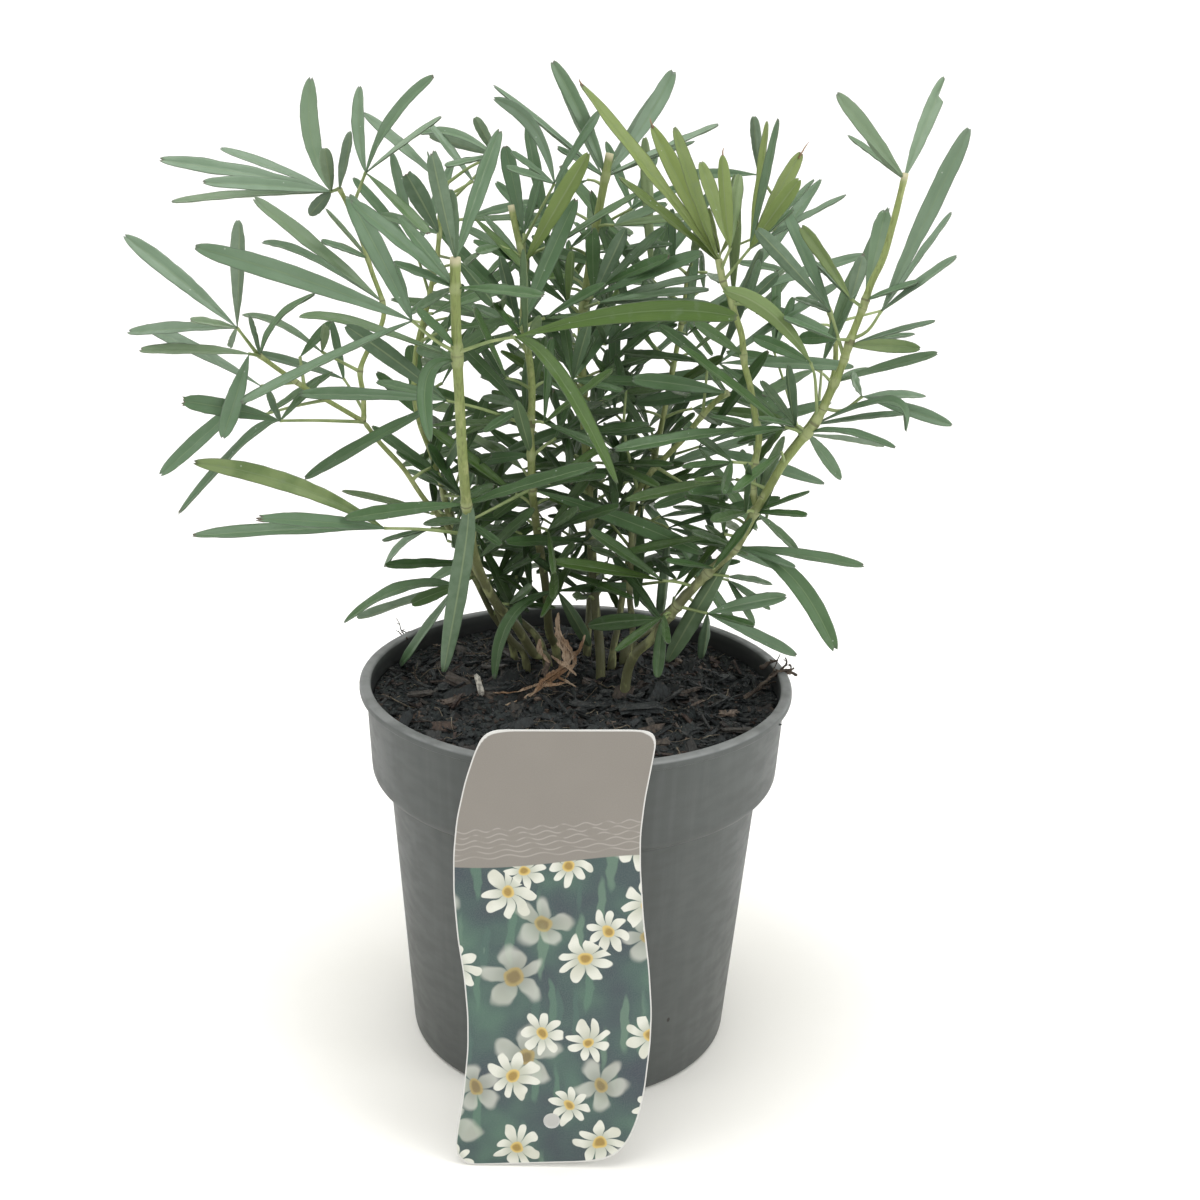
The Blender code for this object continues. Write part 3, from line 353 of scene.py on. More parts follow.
soil_edge = COLLAR_TOP_RADIUS - POT_WALL - SOIL_GAP
soil_rings = [(POT_MIDDLE, POT_FLOOR + SOIL_GAP), (BASE_RADIUS - POT_WALL - 2.4, POT_FLOOR + SOIL_GAP)]
soil_rings += [(BASE_RADIUS - POT_WALL - SOIL_GAP, POT_FLOOR + 2.4)]
soil_rings += [(WAIST_RADIUS - POT_WALL - SOIL_GAP, STEP_Z)]
soil_rings += [(COLLAR_FOOT_RADIUS - POT_WALL - 0.4, COLLAR_FOOT_Z)]
soil_rings += [(soil_edge - 0.4, SOIL_EDGE_Z - 2.0)]
ring_count = int(soil_edge / SOIL_RING_STEP)
soil_rings += [(soil_edge - 0.4 - SOIL_RING_STEP * step, SOIL_EDGE_Z) for step in range(ring_count)]
compost = extruded_rings(soil_rings, SOIL_SIDES)
compost.data.transform(compost.matrix_world)
compost.matrix_world = Matrix.Identity(4)
for corner in compost.data.vertices:
    x, y, z = corner.co / MM
    if z > SOIL_EDGE_Z - 0.01:
        corner.co.z = crumbly_height(x, y) * MM
compost.data.shade_smooth()
finish_piece(compost, "compost_body", "compost", "compost")

compost_dark = new_material("compost_dark", 0.95, 0.2)
place = object_place(compost_dark)
peat = cloudy(place, (160, 160, 160), 6.0)
crumbs = speckled(place, (620, 620, 620))
shreds = cloudy(place, (900, 210, 500), 5.0)
brown = ramp(peat, (0.35, (0.020, 0.025, 0.026)), (0.62, (0.041, 0.047, 0.046)),
             (0.80, (0.064, 0.059, 0.052)))
brown = washed(brown, (0.085, 0.062, 0.046), shreds, 0.62, 0.74, 0.6)
dress(compost_dark, brown, between(peat, 0.3, 0.7, 0.80, 0.98),
      ((crumbs, 0.8, 1.0), (shreds, 0.7, 0.8)))
compost.data.materials.append(compost_dark)

# Bark bits: flat chips, slivers and crumbs of composted bark that lie tumbled over each other at the
# top of the compost. Each kind is modelled once and copied, and every copy is warped on its own.
# A kind is (name, cuts across its block, number, size, how far it stands out or sinks in), and a placed
# chip is (x, y, lightness, tilt, size).
BARK_KINDS = (("chips", 2, 330, (8.0, 4.0, 1.0), 0.9), ("slivers", 1, 520, (8.5, 1.0, 0.5), 0.9),
              ("crumbs", 0, 2600, (1.9, 1.4, 1.0), 0.6), ("grit", None, 5200, (1.1, 0.8, 0.6), 0.7))
BITS_REACH = 79.0
PLACED_CHIPS = ((-37.8, -6.5, 1.0, 14, (2.3, 0.9, 7.6)), (59.7, -14.7, 0.9, 8, (6.5, 4.0, 1.0)),
                (-62.3, -26.5, 0.8, 5, (10.0, 4.5, 1.4)), (25.1, -22.1, 0.45, 4, (15.0, 6.0, 2.4)),
                (45.3, 1.5, 0.72, 12, (8.0, 2.2, 0.8)), (-46.6, -15.4, 0.78, 6, (9.0, 4.2, 1.3)),
                (-12.2, 9.0, 0.9, -16, (2.2, 0.8, 6.0)), (62.1, -33.0, 0.62, 9, (11.0, 2.6, 0.9)),
                (-61.2, -6.5, 0.66, 7, (9.0, 3.6, 1.2)), (30.0, -48.0, 0.7, 7, (10.0, 4.8, 1.4)))


def stored(material, name):
    """Return what an attribute of the piece holds, for its material."""
    return add_node(material.node_tree, "ShaderNodeAttribute", attribute_name=name).outputs


def channels(colour):
    """Return the three numbers that a colour holds."""
    return add_node(colour.id_data, "ShaderNodeSeparateColor", {0: colour}).outputs


def chip_master(cuts):
    """Model one bit of bark, a block a unit long each way, cut across this many times, or with knocked-off
    corners when the cuts are nought.
    """
    start_piece()
    bpy.ops.mesh.primitive_cube_add(size=1.0)
    master = bpy.context.object
    bpy.ops.object.mode_set(mode='EDIT')
    bpy.ops.mesh.select_all(action='SELECT')
    if cuts:
        bpy.ops.mesh.subdivide(number_cuts=cuts)
    bpy.ops.object.mode_set(mode='OBJECT')
    if cuts == 0:
        bevel = master.modifiers.new("worn corners", 'BEVEL')
        bevel.width = 0.12
        bevel.segments = 1
        bpy.ops.object.modifier_apply(modifier=bevel.name)
    return master


def copied(name, master, shapes, tones, attribute):
    """Make one piece of many copies of the master, each with its own points and its own tone."""
    count = len(master.data.vertices)
    corners = [list(face.vertices) for face in master.data.polygons]
    points = np.concatenate(shapes)
    faces = [[corner + count * copy for corner in face] for copy in range(len(shapes)) for face in corners]
    mesh = bpy.data.meshes.new(name)
    mesh.from_pydata(points.tolist(), [], faces)
    for setting in ("material_index", "use_smooth"):
        values = [getattr(face, setting) for face in master.data.polygons]
        mesh.polygons.foreach_set(setting, values * len(shapes))
    tone = mesh.attributes.new(attribute, 'FLOAT_COLOR', 'POINT')
    tone.data.foreach_set("color", np.repeat(np.array(tones, np.float32), count, axis=0).ravel())
    if master.data.uv_layers:
        flat = np.empty(len(master.data.loops) * 2, np.float32)
        master.data.uv_layers[0].data.foreach_get("uv", flat)
        mesh.uv_layers.new(name="blade").data.foreach_set("uv", np.tile(flat, len(shapes)))
    mesh.update()
    piece = bpy.data.objects.new(name, mesh)
    bpy.context.scene.collection.objects.link(piece)
    return piece


def placed(master, draw, tones):
    """Lay the chips that stand out where they are, and return their points."""
    flat = np.array([corner.co for corner in master.data.vertices])
    shapes = []
    for x, y, light, tilt, size in PLACED_CHIPS:
        lie = Matrix.Rotation(draw.uniform(-0.5, 0.5), 3, 'Z')
        lie = lie @ Matrix.Rotation(math.radians(-tilt), 3, 'Y')
        warp = np.array([[draw.gauss(0.0, 0.09) for axis in range(3)] for corner in flat])
        moved = ((flat + warp) * size) @ np.array(lie).T
        lift = crumbly_height(x, y) + 0.6 - moved[:, 2].min() * 0.8
        shapes.append((moved + (x, y, lift)) * MM)
        tones.append((light, 0.8 * draw.random(), draw.random(), 1.0))
    return shapes


def strewn(master, count, size, sink, draw, tones):
    """Strew copies of the master over the compost and return their points."""
    flat = np.array([corner.co for corner in master.data.vertices])
    shapes = []
    for index in range(count):
        reach = BITS_REACH * math.sqrt(draw.random())
        turn = math.tau * draw.random()
        x, y = reach * math.cos(turn), reach * math.sin(turn)
        grow = draw.uniform(0.5, 1.35)
        scale = Matrix.Diagonal([side * grow * draw.uniform(0.7, 1.3) for side in size] + [1.0])
        tilt = draw.gauss(0.0, 0.32)
        lie = Matrix.Rotation(math.tau * draw.random(), 4, 'Z') @ Matrix.Rotation(tilt, 4, 'Y')
        lie = lie @ Matrix.Rotation(draw.gauss(0.0, 0.4), 4, 'X')
        room = soil_edge - math.hypot(x, y) - size[0] * grow * 0.62
        if room < 0:
            pull = (math.hypot(x, y) + room) / max(math.hypot(x, y), 1.0)
            x, y = x * pull, y * pull
        top = crumbly_height(x, y) + sink * draw.uniform(-0.5, 1.0)
        matrix = np.array(Matrix.Translation((x, y, top)) @ lie @ scale)
        warp = np.array([[draw.gauss(0.0, 0.085) for axis in range(3)] for corner in flat])
        bend = np.zeros_like(flat)
        bend[:, 2] = draw.uniform(-0.5, 0.9) * flat[:, 0] ** 2
        moved = (flat + warp + bend) @ matrix[:3, :3].T + matrix[:3, 3]
        shapes.append(moved * MM)
        light = min(1.0, max(0.0, draw.betavariate(1.4, 3.2)))
        tones.append((light, draw.random(), draw.random(), 1.0))
    return shapes


draw = random.Random(8)
bark_bits = []
for kind, cuts, count, size, sink in BARK_KINDS:
    master = chip_master(cuts)
    tones = []
    shapes = strewn(master, count, size, sink, draw, tones)
    if kind == "chips":
        shapes += placed(master, draw, tones)
    bits = copied("bark_" + kind, master, shapes, tones, "bark_tone")
    bpy.data.objects.remove(master)
    finish_piece(bits, "bark_" + kind, "compost", "compost")
    bark_bits.append(bits)

bark = new_material("bark", 0.85, 0.3)
place = object_place(bark)
light, hue = channels(stored(bark, "bark_tone")["Color"])[:2]
rings = cloudy(place, (1100, 300, 700), 5.0)
flecks = cloudy(place, (420, 420, 420), 3.0)
brown = ramp(light, (0.0, (0.020, 0.025, 0.026)), (0.45, (0.039, 0.046, 0.046)),
             (0.66, (0.066, 0.059, 0.050)), (0.82, (0.135, 0.098, 0.074)), (0.95, (0.26, 0.205, 0.16)),
             (1.0, (0.80, 0.76, 0.66)))
brown = washed(brown, (0.085, 0.046, 0.031), hue, 0.80, 1.0, 0.60)
brown = mixed(between(rings, 0.40, 0.66, 0.5, 0.0), brown, (0.016, 0.015, 0.015))
brown = washed(brown, (0.095, 0.078, 0.062), flecks, 0.62, 0.72, 0.4)
dress(bark, brown, between(flecks, 0.3, 0.7, 0.52, 0.82), ((rings, 0.9, 0.5), (flecks, 0.5, 0.4)))
for bits in bark_bits:
    bits.data.materials.append(bark)

# Dry bits in the compost: root fibres and thin straws at its top, a torn tan husk that stands between
# the stems, and two rough twigs that lean out over the lip. They are drawn as curves and swept.
EYE = Vector((8.5, -602.0, 393.7))
FIBRES = 70
HUSK_SHREDS = (
    (((-7.7, 178, -2), (-7, 170, -2), (-5, 163, -3), (-4, 157, -4), (-8, 152, -5), (-13, 149.5, -6)), 2.7),
    (((-9, 172, -3), (-4.5, 165, -3), (-1, 158, -4), (-4, 151, -6)), 1.8),
    (((2, 164, -4), (-2, 159.5, -4), (-7, 154, -5), (-12, 150.5, -6), (-18.2, 142.2, -12)), 2.0),
    (((0, 157, -5), (-6, 153, -6), (-13, 147.5, -7), (-20, 142, -12.5), (-28, 138.2, -22)), 1.3),
    (((-10, 160, -2), (-5, 156.5, -5), (0, 152, -7)), 1.6),
    (((-11, 153, -3), (-5, 150, -8), (0, 147, -9)), 1.0),
    (((-14.6, 167, -1), (-14, 162, -1.5), (-11, 157, -3)), 2.3),
    (((-16, 147, -6), (-9, 147.5, -8), (-3, 149, -8)), 1.2),
    (((3, 169, -4), (0.5, 162, -4.5), (-4, 157, -5)), 1.0),
    (((-12, 149, -4), (-19, 146, -7), (-25, 144, -11), (-33, 143.6, -14)), 0.8))
TWIGS = ((((-60, 139, 4), (-63, 147, 3), (-64.5, 154, 2)), 0.42),
         (((-66.5, 165, 36), (-68.2, 167.5, 42), (-69.4, 170.5, 44), (-70.3, 174, 45)), 0.36),
         (((-67.2, 166.5, 42), (-69.0, 166.8, 42), (-70.2, 168.4, 43)), 0.30),
         (((-66.0, 167.0, 44), (-67.5, 168.6, 44)), 0.45),
         (((64, 140.5, -2), (73, 150, 3), (80, 156, 8), (86.0, 157.6, 11)), 0.75),
         (((77, 154.5, 8), (82.5, 155.8, 11), (87.0, 154.6, 11)), 1.15),
         (((74, 150, 6), (77.4, 156, 12), (79.6, 163.4, 14)), 0.42),
         (((79.5, 155, 10), (82.6, 159.6, 13), (82.0, 162.0, 13)), 0.55),
         (((72, 157, 13), (76.4, 160.0, 15), (79.0, 160.6, 15)), 0.95),
         (((81, 153, 10), (84.5, 157.4, 12), (84.2, 159.6, 12)), 0.60),
         (((70, 146, 6), (76, 150.5, 9), (84, 152.5, 10)), 0.50))


def sighted(x, z, y):
    """Return the real place of the point sighted from EYE at x, z on the plane y = 0, at depth y."""
    stretch = (y - EYE.y) / -EYE.y
    return Vector((EYE.x + (x - EYE.x) * stretch, y, EYE.z + (z - EYE.z) * stretch))


def smooth_way(points, step):
    """Return points a step apart on a smooth line through the given ones."""
    ends = [points[0] * 2 - points[1]] + list(points) + [points[-1] * 2 - points[-2]]
    way = []
    for a, b, c, d in zip(ends, ends[1:], ends[2:], ends[3:]):
        count = max(2, round((c - b).length / step))
        for index in range(count):
            t = index / count
            way.append((b * 2 + (c - a) * t + (a * 2 - b * 5 + c * 4 - d) * t * t
                        + (b * 3 - a - c * 3 + d) * t ** 3) / 2)
    return way + [points[-1].copy()]


def swept(points, radii, sides):
    """Sweep a round section along the points and return it as a closed mesh object."""
    curve = bpy.data.curves.new("sweep", 'CURVE')
    curve.dimensions = '3D'
    curve.bevel_depth = MM
    curve.bevel_resolution = sides
    curve.use_fill_caps = True
    spline = curve.splines.new('POLY')
    spline.points.add(len(points) - 1)
    for knot, point, radius in zip(spline.points, points, radii):
        knot.co = (*(Vector(point) * MM), 1.0)
        knot.radius = radius
    piece = bpy.data.objects.new("sweep", curve)
    bpy.context.scene.collection.objects.link(piece)
    start_piece()
    piece.select_set(True)
    bpy.context.view_layer.objects.active = piece
    bpy.ops.object.convert(target='MESH')
    piece = bpy.context.object
    bpy.ops.object.mode_set(mode='EDIT')
    bpy.ops.mesh.select_all(action='SELECT')
    bpy.ops.mesh.remove_doubles(threshold=0.00001)
    bpy.ops.mesh.normals_make_consistent(inside=False)
    bpy.ops.object.mode_set(mode='OBJECT')
    piece.data.shade_smooth()
    return piece


def joined(pieces):
    """Join mesh objects into the first of them."""
    start_piece()
    for piece in pieces:
        piece.select_set(True)
    bpy.context.view_layer.objects.active = pieces[0]
    bpy.ops.object.join()
    return pieces[0]


draw = random.Random(21)
noise.seed_set(21)
fibres = []
for index in range(FIBRES):
    reach, turn, way = 76 * math.sqrt(draw.random()), math.tau * draw.random(), math.tau * draw.random()
    x, y = reach * math.cos(turn), reach * math.sin(turn)
    length = draw.uniform(6, 26)
    bend = draw.gauss(0.0, 0.12)
    line = []
    for step in range(7):
        if math.hypot(x, y) < soil_edge - 2:
            line.append(Vector((x, y, crumbly_height(x, y) + draw.uniform(0.3, 2.0))))
        x += length / 6 * math.cos(way)
        y += length / 6 * math.sin(way)
        way += bend + draw.gauss(0.0, 0.22)
    if len(line) > 3:
        line = smooth_way(line, 2.0)
        thick = draw.uniform(0.12, 0.34)
        fibres.append(swept(line, [thick * (1 - 0.6 * i / len(line)) for i in range(len(line))], 0))
fibres = joined(fibres)
finish_piece(fibres, "root_fibres", "compost", "compost")

strips = []
for path, width in HUSK_SHREDS:
    way = smooth_way([sighted(*point) for point in path], 1.0)
    turn, phase = draw.uniform(0.0, math.tau), draw.uniform(0, 99)
    start_piece()
    bpy.ops.mesh.primitive_grid_add(x_subdivisions=4, y_subdivisions=len(way) - 1, size=1.0)
    strip = bpy.context.object
    for corner in strip.data.vertices:
        across, along = corner.co.x * 2, corner.co.y + 0.5
        step = round(along * (len(way) - 1))
        ahead = (way[min(step + 1, len(way) - 1)] - way[max(step - 1, 0)]).normalized()
        level = ahead.cross(Vector((0, 1, -0.3))).normalized()
        twist = 0.7 * math.sin(turn + 3.0 * along) + noise.noise(Vector((along * 4, phase, 0)))
        side = level * math.cos(twist) + ahead.cross(level) * math.sin(twist)
        rag = noise.noise(Vector((along * len(way) * 0.45, across * 1.5, phase)))
        wide = width * (0.22 + 0.78 * math.sin(math.pi * min(1.0, along * 1.02) ** 0.7)) * (1.0 + 0.9 * rag)
        curl = ahead.cross(side) * 0.35 * wide * across * across
        corner.co = (way[step] + side * across * wide / 2 + curl + Vector((0, 0, 0.5 * rag))) * MM
    wall = strip.modifiers.new("husk wall", 'SOLIDIFY')
    wall.thickness = 0.3 * MM
    wall.offset = 0.0
    bpy.ops.object.modifier_apply(modifier=wall.name)
    strip.data.shade_smooth()
    strips.append(strip)
husk = joined(strips)
finish_piece(husk, "dry_husk", "compost", "compost")

twigs = []
for path, thick in TWIGS:
    line = smooth_way([sighted(*point) for point in path], 0.8)
    line = [point + noise.noise_vector(point * 0.45) * 0.7 for point in line]
    knots = [thick * (1.0 - 0.6 * index / len(line)) * (0.8 + 0.9 * abs(noise.noise(point * 0.8)))
             for index, point in enumerate(line)]
    twigs.append(swept(line, knots, 2))
    for start, lean in ((0.5, 1.0), (0.75, -1.0)):
        foot = line[int(len(line) * start)]
        shoot = [foot + Vector((lean * step * 0.5, -0.2 * step, 0.35 * step)) for step in range(4)]
        twigs.append(swept(shoot, [thick * 0.6, thick * 0.5, thick * 0.4, thick * 0.2], 1))
twigs = joined(twigs)
finish_piece(twigs, "rim_twigs", "compost", "compost")

for piece, name, colours in (
        (fibres, "fibre", ((0.15, 0.125, 0.090), (0.27, 0.235, 0.170), (0.070, 0.056, 0.042))),
        (husk, "husk", ((0.25, 0.150, 0.082), (0.50, 0.38, 0.27), (0.075, 0.048, 0.032))),
        (twigs, "twig", ((0.045, 0.034, 0.026), (0.10, 0.080, 0.060), (0.018, 0.013, 0.010)))):
    dry = new_material(name, 0.8, 0.25)
    place = object_place(dry)
    patches = cloudy(place, (170, 170, 120), 3.0)
    threads = cloudy(place, (2200, 2200, 260), 4.0)
    shade = washed(colours[0], colours[1], patches, 0.38, 0.62)
    shade = washed(shade, colours[2], threads, 0.45, 0.70, 0.75)
    dress(dry, shade, between(patches, 0.3, 0.7, 0.7, 0.9), ((threads, 0.7, 0.4),))
    piece.data.materials.append(dry)

# Picture label: one thin printed plastic card with wavy long sides and a punched hole, standing on
# its lower left corner and leaning on the lip. It is cut from a flat outline, printed inside a white
# edge with a taupe heading over a dark leafy picture of pale rosettes, and plain white behind.
CARD_THICK = 0.8
CARD_LEAN = math.radians(7.0)
CARD_LEFT = ((-33.0, 0.0), (-37.2, 2.2), (-38.7, 6.5), (-38.0, 14.0), (-36.0, 27.5), (-34.6, 46.5),
             (-34.8, 59.0), (-36.2, 74.0), (-38.6, 88.5), (-40.2, 105.5), (-40.4, 120.0),
             (-39.4, 133.0), (-36.6, 147.0), (-33.4, 157.5), (-30.8, 163.4), (-26.4, 165.8))
CARD_RIGHT = ((23.5, 167.2), (27.8, 166.4), (29.4, 163.4), (28.6, 157.5), (26.2, 142.0),
              (25.1, 129.0), (25.5, 116.5), (27.2, 97.5), (29.8, 79.0), (31.2, 63.0), (31.2, 51.0),
              (29.8, 32.5), (27.6, 20.5), (24.6, 12.0), (20.8, 6.4), (15.8, 3.6), (9.0, 2.5))
CARD_HOLE = (-3.7, 18.6)
CARD_HOLE_RADIUS = 3.0
CARD_EDGE = 0.45
CARD_ROW = 1.4
CARD_COLUMNS = 30


def flat_place(material, name):
    """Return the place on the piece's flat map, for its material."""
    return add_node(material.node_tree, "ShaderNodeUVMap", uv_map=name).outputs[0]


def cut_corners(outline, most):
    """Round a closed outline by cutting each corner off, at most this far from it."""
    rounder = []
    for before, corner, after in zip(outline[-1:] + outline[:-1], outline, outline[1:] + outline[:1]):
        for other in (before, after):
            rounder.append(corner.lerp(other, min(0.25, most / (other - corner).length)))
    return rounder


def crossings(outline, level):
    """Return where the outline crosses a level, on its left and on its right."""
    found = []
    for start, end in zip(outline, outline[1:] + outline[:1]):
        if min(start.y, end.y) <= level <= max(start.y, end.y) and start.y != end.y:
            found.append(start.x + (end.x - start.x) * (level - start.y) / (end.y - start.y))
    return min(found), max(found)


outline = [Vector((x, y)) for x, y in CARD_LEFT + CARD_RIGHT]
for most in (2.0, 1.0):
    outline = cut_corners(outline, most)
foot_y, head_y = min(spot.y for spot in outline), max(spot.y for spot in outline)
levels = sorted({round(spot.y, 2) for spot in outline if foot_y < spot.y < head_y}
                | {foot_y + 0.01, head_y - 0.01}
                | {foot_y + CARD_ROW * step for step in range(1, int((head_y - foot_y) / CARD_ROW))})
levels = [level for level, after in zip(levels, levels[1:] + [head_y + 1]) if after - level > 0.04]
start_piece()
bpy.ops.mesh.primitive_grid_add(x_subdivisions=CARD_COLUMNS, y_subdivisions=len(levels) - 1, size=1.0)
card = bpy.context.object
sides = [crossings(outline, level) for level in levels]
edge_away = []
for corner in card.data.vertices:
    row = round((corner.co.y + 0.5) * (len(levels) - 1))
    left, right = sides[row]
    spread = 0.5 + math.asin(corner.co.x * 2) / math.pi
    corner.co = ((left + (right - left) * spread) * MM, levels[row] * MM, 0.0)
    spot = Vector((corner.co.x / MM, corner.co.y / MM))
    nearest = min((intersect_point_line(spot, start, end) + (start, end)
                   for start, end in zip(outline, outline[1:] + outline[:1])),
                  key=lambda hit: (spot - hit[2].lerp(hit[3], min(1.0, max(0.0, hit[1])))).length)
    edge_away.append((spot - nearest[2].lerp(nearest[3], min(1.0, max(0.0, nearest[1])))).length)
card.data.attributes.new("edge_away", 'FLOAT', 'POINT').data.foreach_set("value", edge_away)
print_map = card.data.uv_layers[0] if card.data.uv_layers else card.data.uv_layers.new(name="print")
print_map.name = "print"
for loop in card.data.loops:
    spot = card.data.vertices[loop.vertex_index].co / MM
    print_map.data[loop.index].uv = (spot.x / 100, spot.y / 100)
wall = card.modifiers.new("card wall", 'SOLIDIFY')
wall.thickness = CARD_THICK * MM
wall.offset = 0.0
bpy.ops.object.modifier_apply(modifier=wall.name)
drill_hole(card, "punched hole", CARD_HOLE_RADIUS, 48, 6.0, (*CARD_HOLE, 0.0))
for face in card.data.polygons:
    face.material_index = 1 if face.normal.z > 0.9 and face.center.z > 0.0 else 0
stand = Matrix.Rotation(math.radians(90.0) - CARD_LEAN, 4, 'X')
card.data.transform(stand)
low = min(corner.co.z for corner in card.data.vertices)
back = RIM_RADIUS + SOIL_GAP + CARD_THICK / 2 / math.cos(CARD_LEAN)
back += (POT_HEIGHT - 0.9) * math.tan(CARD_LEAN)
card.data.transform(Matrix.Translation(Vector((0.0, -back * MM, SOIL_GAP * MM - low))))
finish_piece(card, "picture_label", "label_plastic", "label_card")

label_plastic = new_material("label_plastic", 0.35, 0.45)
place = object_place(label_plastic)
haze = cloudy(place, (40, 40, 40), 3.0)
dots = cloudy(place, (1500, 1500, 1500), 1.0)
white = mixed(haze, (0.66, 0.66, 0.63), (0.74, 0.74, 0.71))
dress(label_plastic, white, between(haze, 0.3, 0.7, 0.3, 0.42), ((dots, 0.15, 0.05),))

# The print: two layers of scattered rosettes, the blurred ones behind, over blades that lie three ways.
# A layer of rosettes is (shift, cell size, petals, strength, blur), a layer of blades (turn, number
# across, number up, colour).
ROSETTES = (((1.7, 3.1, 0.0), 0.30, 5, 0.55, 0.20), ((0.0, 0.0, 0.0), 0.225, 8, 1.0, 0.03))
BLADES = ((0.5, 16.0, 2.6, (0.075, 0.155, 0.105)), (-0.7, 14.0, 2.3, (0.110, 0.190, 0.130)),
          (1.3, 18.0, 2.8, (0.050, 0.105, 0.085)))
WAVE_LINES = 6


def moved_by(operation, place, other):
    """Move or scale a place on the print."""
    terms = {0: place, **other}
    return add_node(place.id_data, "ShaderNodeVectorMath", terms, operation=operation).outputs[0]


label_print = new_material("label_print", 0.3, 0.45)
tree = label_print.node_tree
flat = flat_place(label_print, "print")
drift = add_node(tree, "ShaderNodeTexNoise", {"Vector": flat, "Scale": 9.0, "Detail": 2.0}).outputs["Color"]
drift = moved_by('SUBTRACT', drift, {1: (0.5, 0.5, 0.5)})
drift = moved_by('SCALE', drift, {"Scale": 0.05})
loose = moved_by('ADD', flat, {1: drift})
flat_x, flat_y = apart(flat)[:2]
gloom = cloudy(flat, (1, 1, 1), 2.0, 4.2)
teal = ramp(gloom, (0.30, (0.026, 0.036, 0.052)), (0.5, (0.036, 0.070, 0.066)),
            (0.66, (0.058, 0.120, 0.088)), (0.8, (0.090, 0.150, 0.105)))
for turn, wide, tall, light in BLADES:
    lying = {"Vector": loose, "Rotation": (0, 0, turn), "Scale": (wide, tall, 1)}
    lying = add_node(tree, "ShaderNodeMapping", lying).outputs[0]
    blades = add_node(tree, "ShaderNodeTexVoronoi", {"Vector": lying, "Scale": 1.0, "Randomness": 0.9})
    middle = blades.outputs["Distance"]
    teal = washed(teal, light, middle, 0.30, 0.22, 0.75)
    teal = mixed(between(middle, 0.03, 0.06, 0.35, 0.0), teal, (0.16, 0.24, 0.17))
frayed = cloudy(flat, (1, 1, 1), 0.0, 10.0)
picture = teal
for shift, cell, petals, dim, blur in ROSETTES:
    scatter = {"Vector": loose, "Location": shift, "Scale": (1 / cell,) * 3}
    scatter = add_node(tree, "ShaderNodeMapping", scatter).outputs[0]
    cells = {"Vector": scatter, "Scale": 1.0, "Randomness": 0.72}
    cells = add_node(tree, "ShaderNodeTexVoronoi", cells, voronoi_dimensions='2D')
    spin, size, keep = channels(cells.outputs["Color"])
    away_x, away_y = apart(moved_by('SUBTRACT', scatter, {1: cells.outputs["Position"]}))[:2]
    radius = sums('DIVIDE', cells.outputs["Distance"], between(size, 0.0, 1.0, 0.36, 0.47))
    angle = plus(sums('ARCTAN2', away_y, away_x), times(spin, math.tau))
    angle = plus(angle, between(frayed, 0.25, 0.75, -0.16, 0.16))
    wave = sums('ABSOLUTE', sums('COSINE', times(angle, petals / 2)))
    reach = plus(times(sums('POWER', wave, 0.55), 0.72), 0.26)
    reach = times(reach, between(frayed, 0.3, 0.7, 0.92, 1.06))
    inside = between(minus(reach, radius), 0.0, blur + 0.03)
    kept = between(keep, 0.20, 0.25)
    cream = washed((0.42, 0.44, 0.36), (0.66, 0.66, 0.58), radius, 0.15, 0.75)
    cream = washed(cream, (0.30, 0.33, 0.28), wave, 0.45, 0.15, 0.55)
    cream = washed(cream, (0.40, 0.40, 0.30), frayed, 0.50, 0.70, 0.35)
    heart = washed((0.30, 0.19, 0.035), (0.58, 0.42, 0.12), radius, 0.10, 0.20)
    cream = washed(cream, heart, radius, 0.26, 0.20)
    picture = mixed(times(times(inside, kept), dim), picture, cream)
taupe = mixed(gloom, (0.204, 0.183, 0.158), (0.233, 0.211, 0.183))
for level in range(WAVE_LINES):
    bob = sums('SINE', plus(times(flat_x, 52.0 + 6.0 * level), 1.9 * level))
    rise = plus(times(flat_x, 0.10), times(bob, 0.0055))
    line = minus(minus(flat_y, rise), 1.220 + 0.020 * level)
    gone = cloudy(flat, (6, 2, 1), 1.0, 1.0 + 0.7 * level)
    thin = between(sums('ABSOLUTE', line), 0.0036, 0.0014, 0.0, 0.42)
    thin = times(thin, between(gone, 0.36, 0.52, 0.1, 1.0))
    taupe = mixed(thin, taupe, (0.44, 0.41, 0.37))
swell = times(sums('SINE', times(flat_x, 4.4)), 0.035)
heading = between(minus(minus(flat_y, swell), 1.185), 0.0, 0.004)
picture = mixed(heading, picture, taupe)
grain = cloudy(flat, (1, 1, 1), 1.0, 260.0)
picture = washed(picture, (0.30, 0.31, 0.29), grain, 0.35, 0.65, 0.10)
away = stored(label_print, "edge_away")["Fac"]
picture = washed(picture, (0.60, 0.59, 0.56), away, CARD_EDGE + 0.15, CARD_EDGE - 0.15)
dress(label_print, picture, between(gloom, 0.3, 0.7, 0.30, 0.40), ((grain, 0.1, 0.03),))
card.data.materials.append(label_plastic)
card.data.materials.append(label_print)
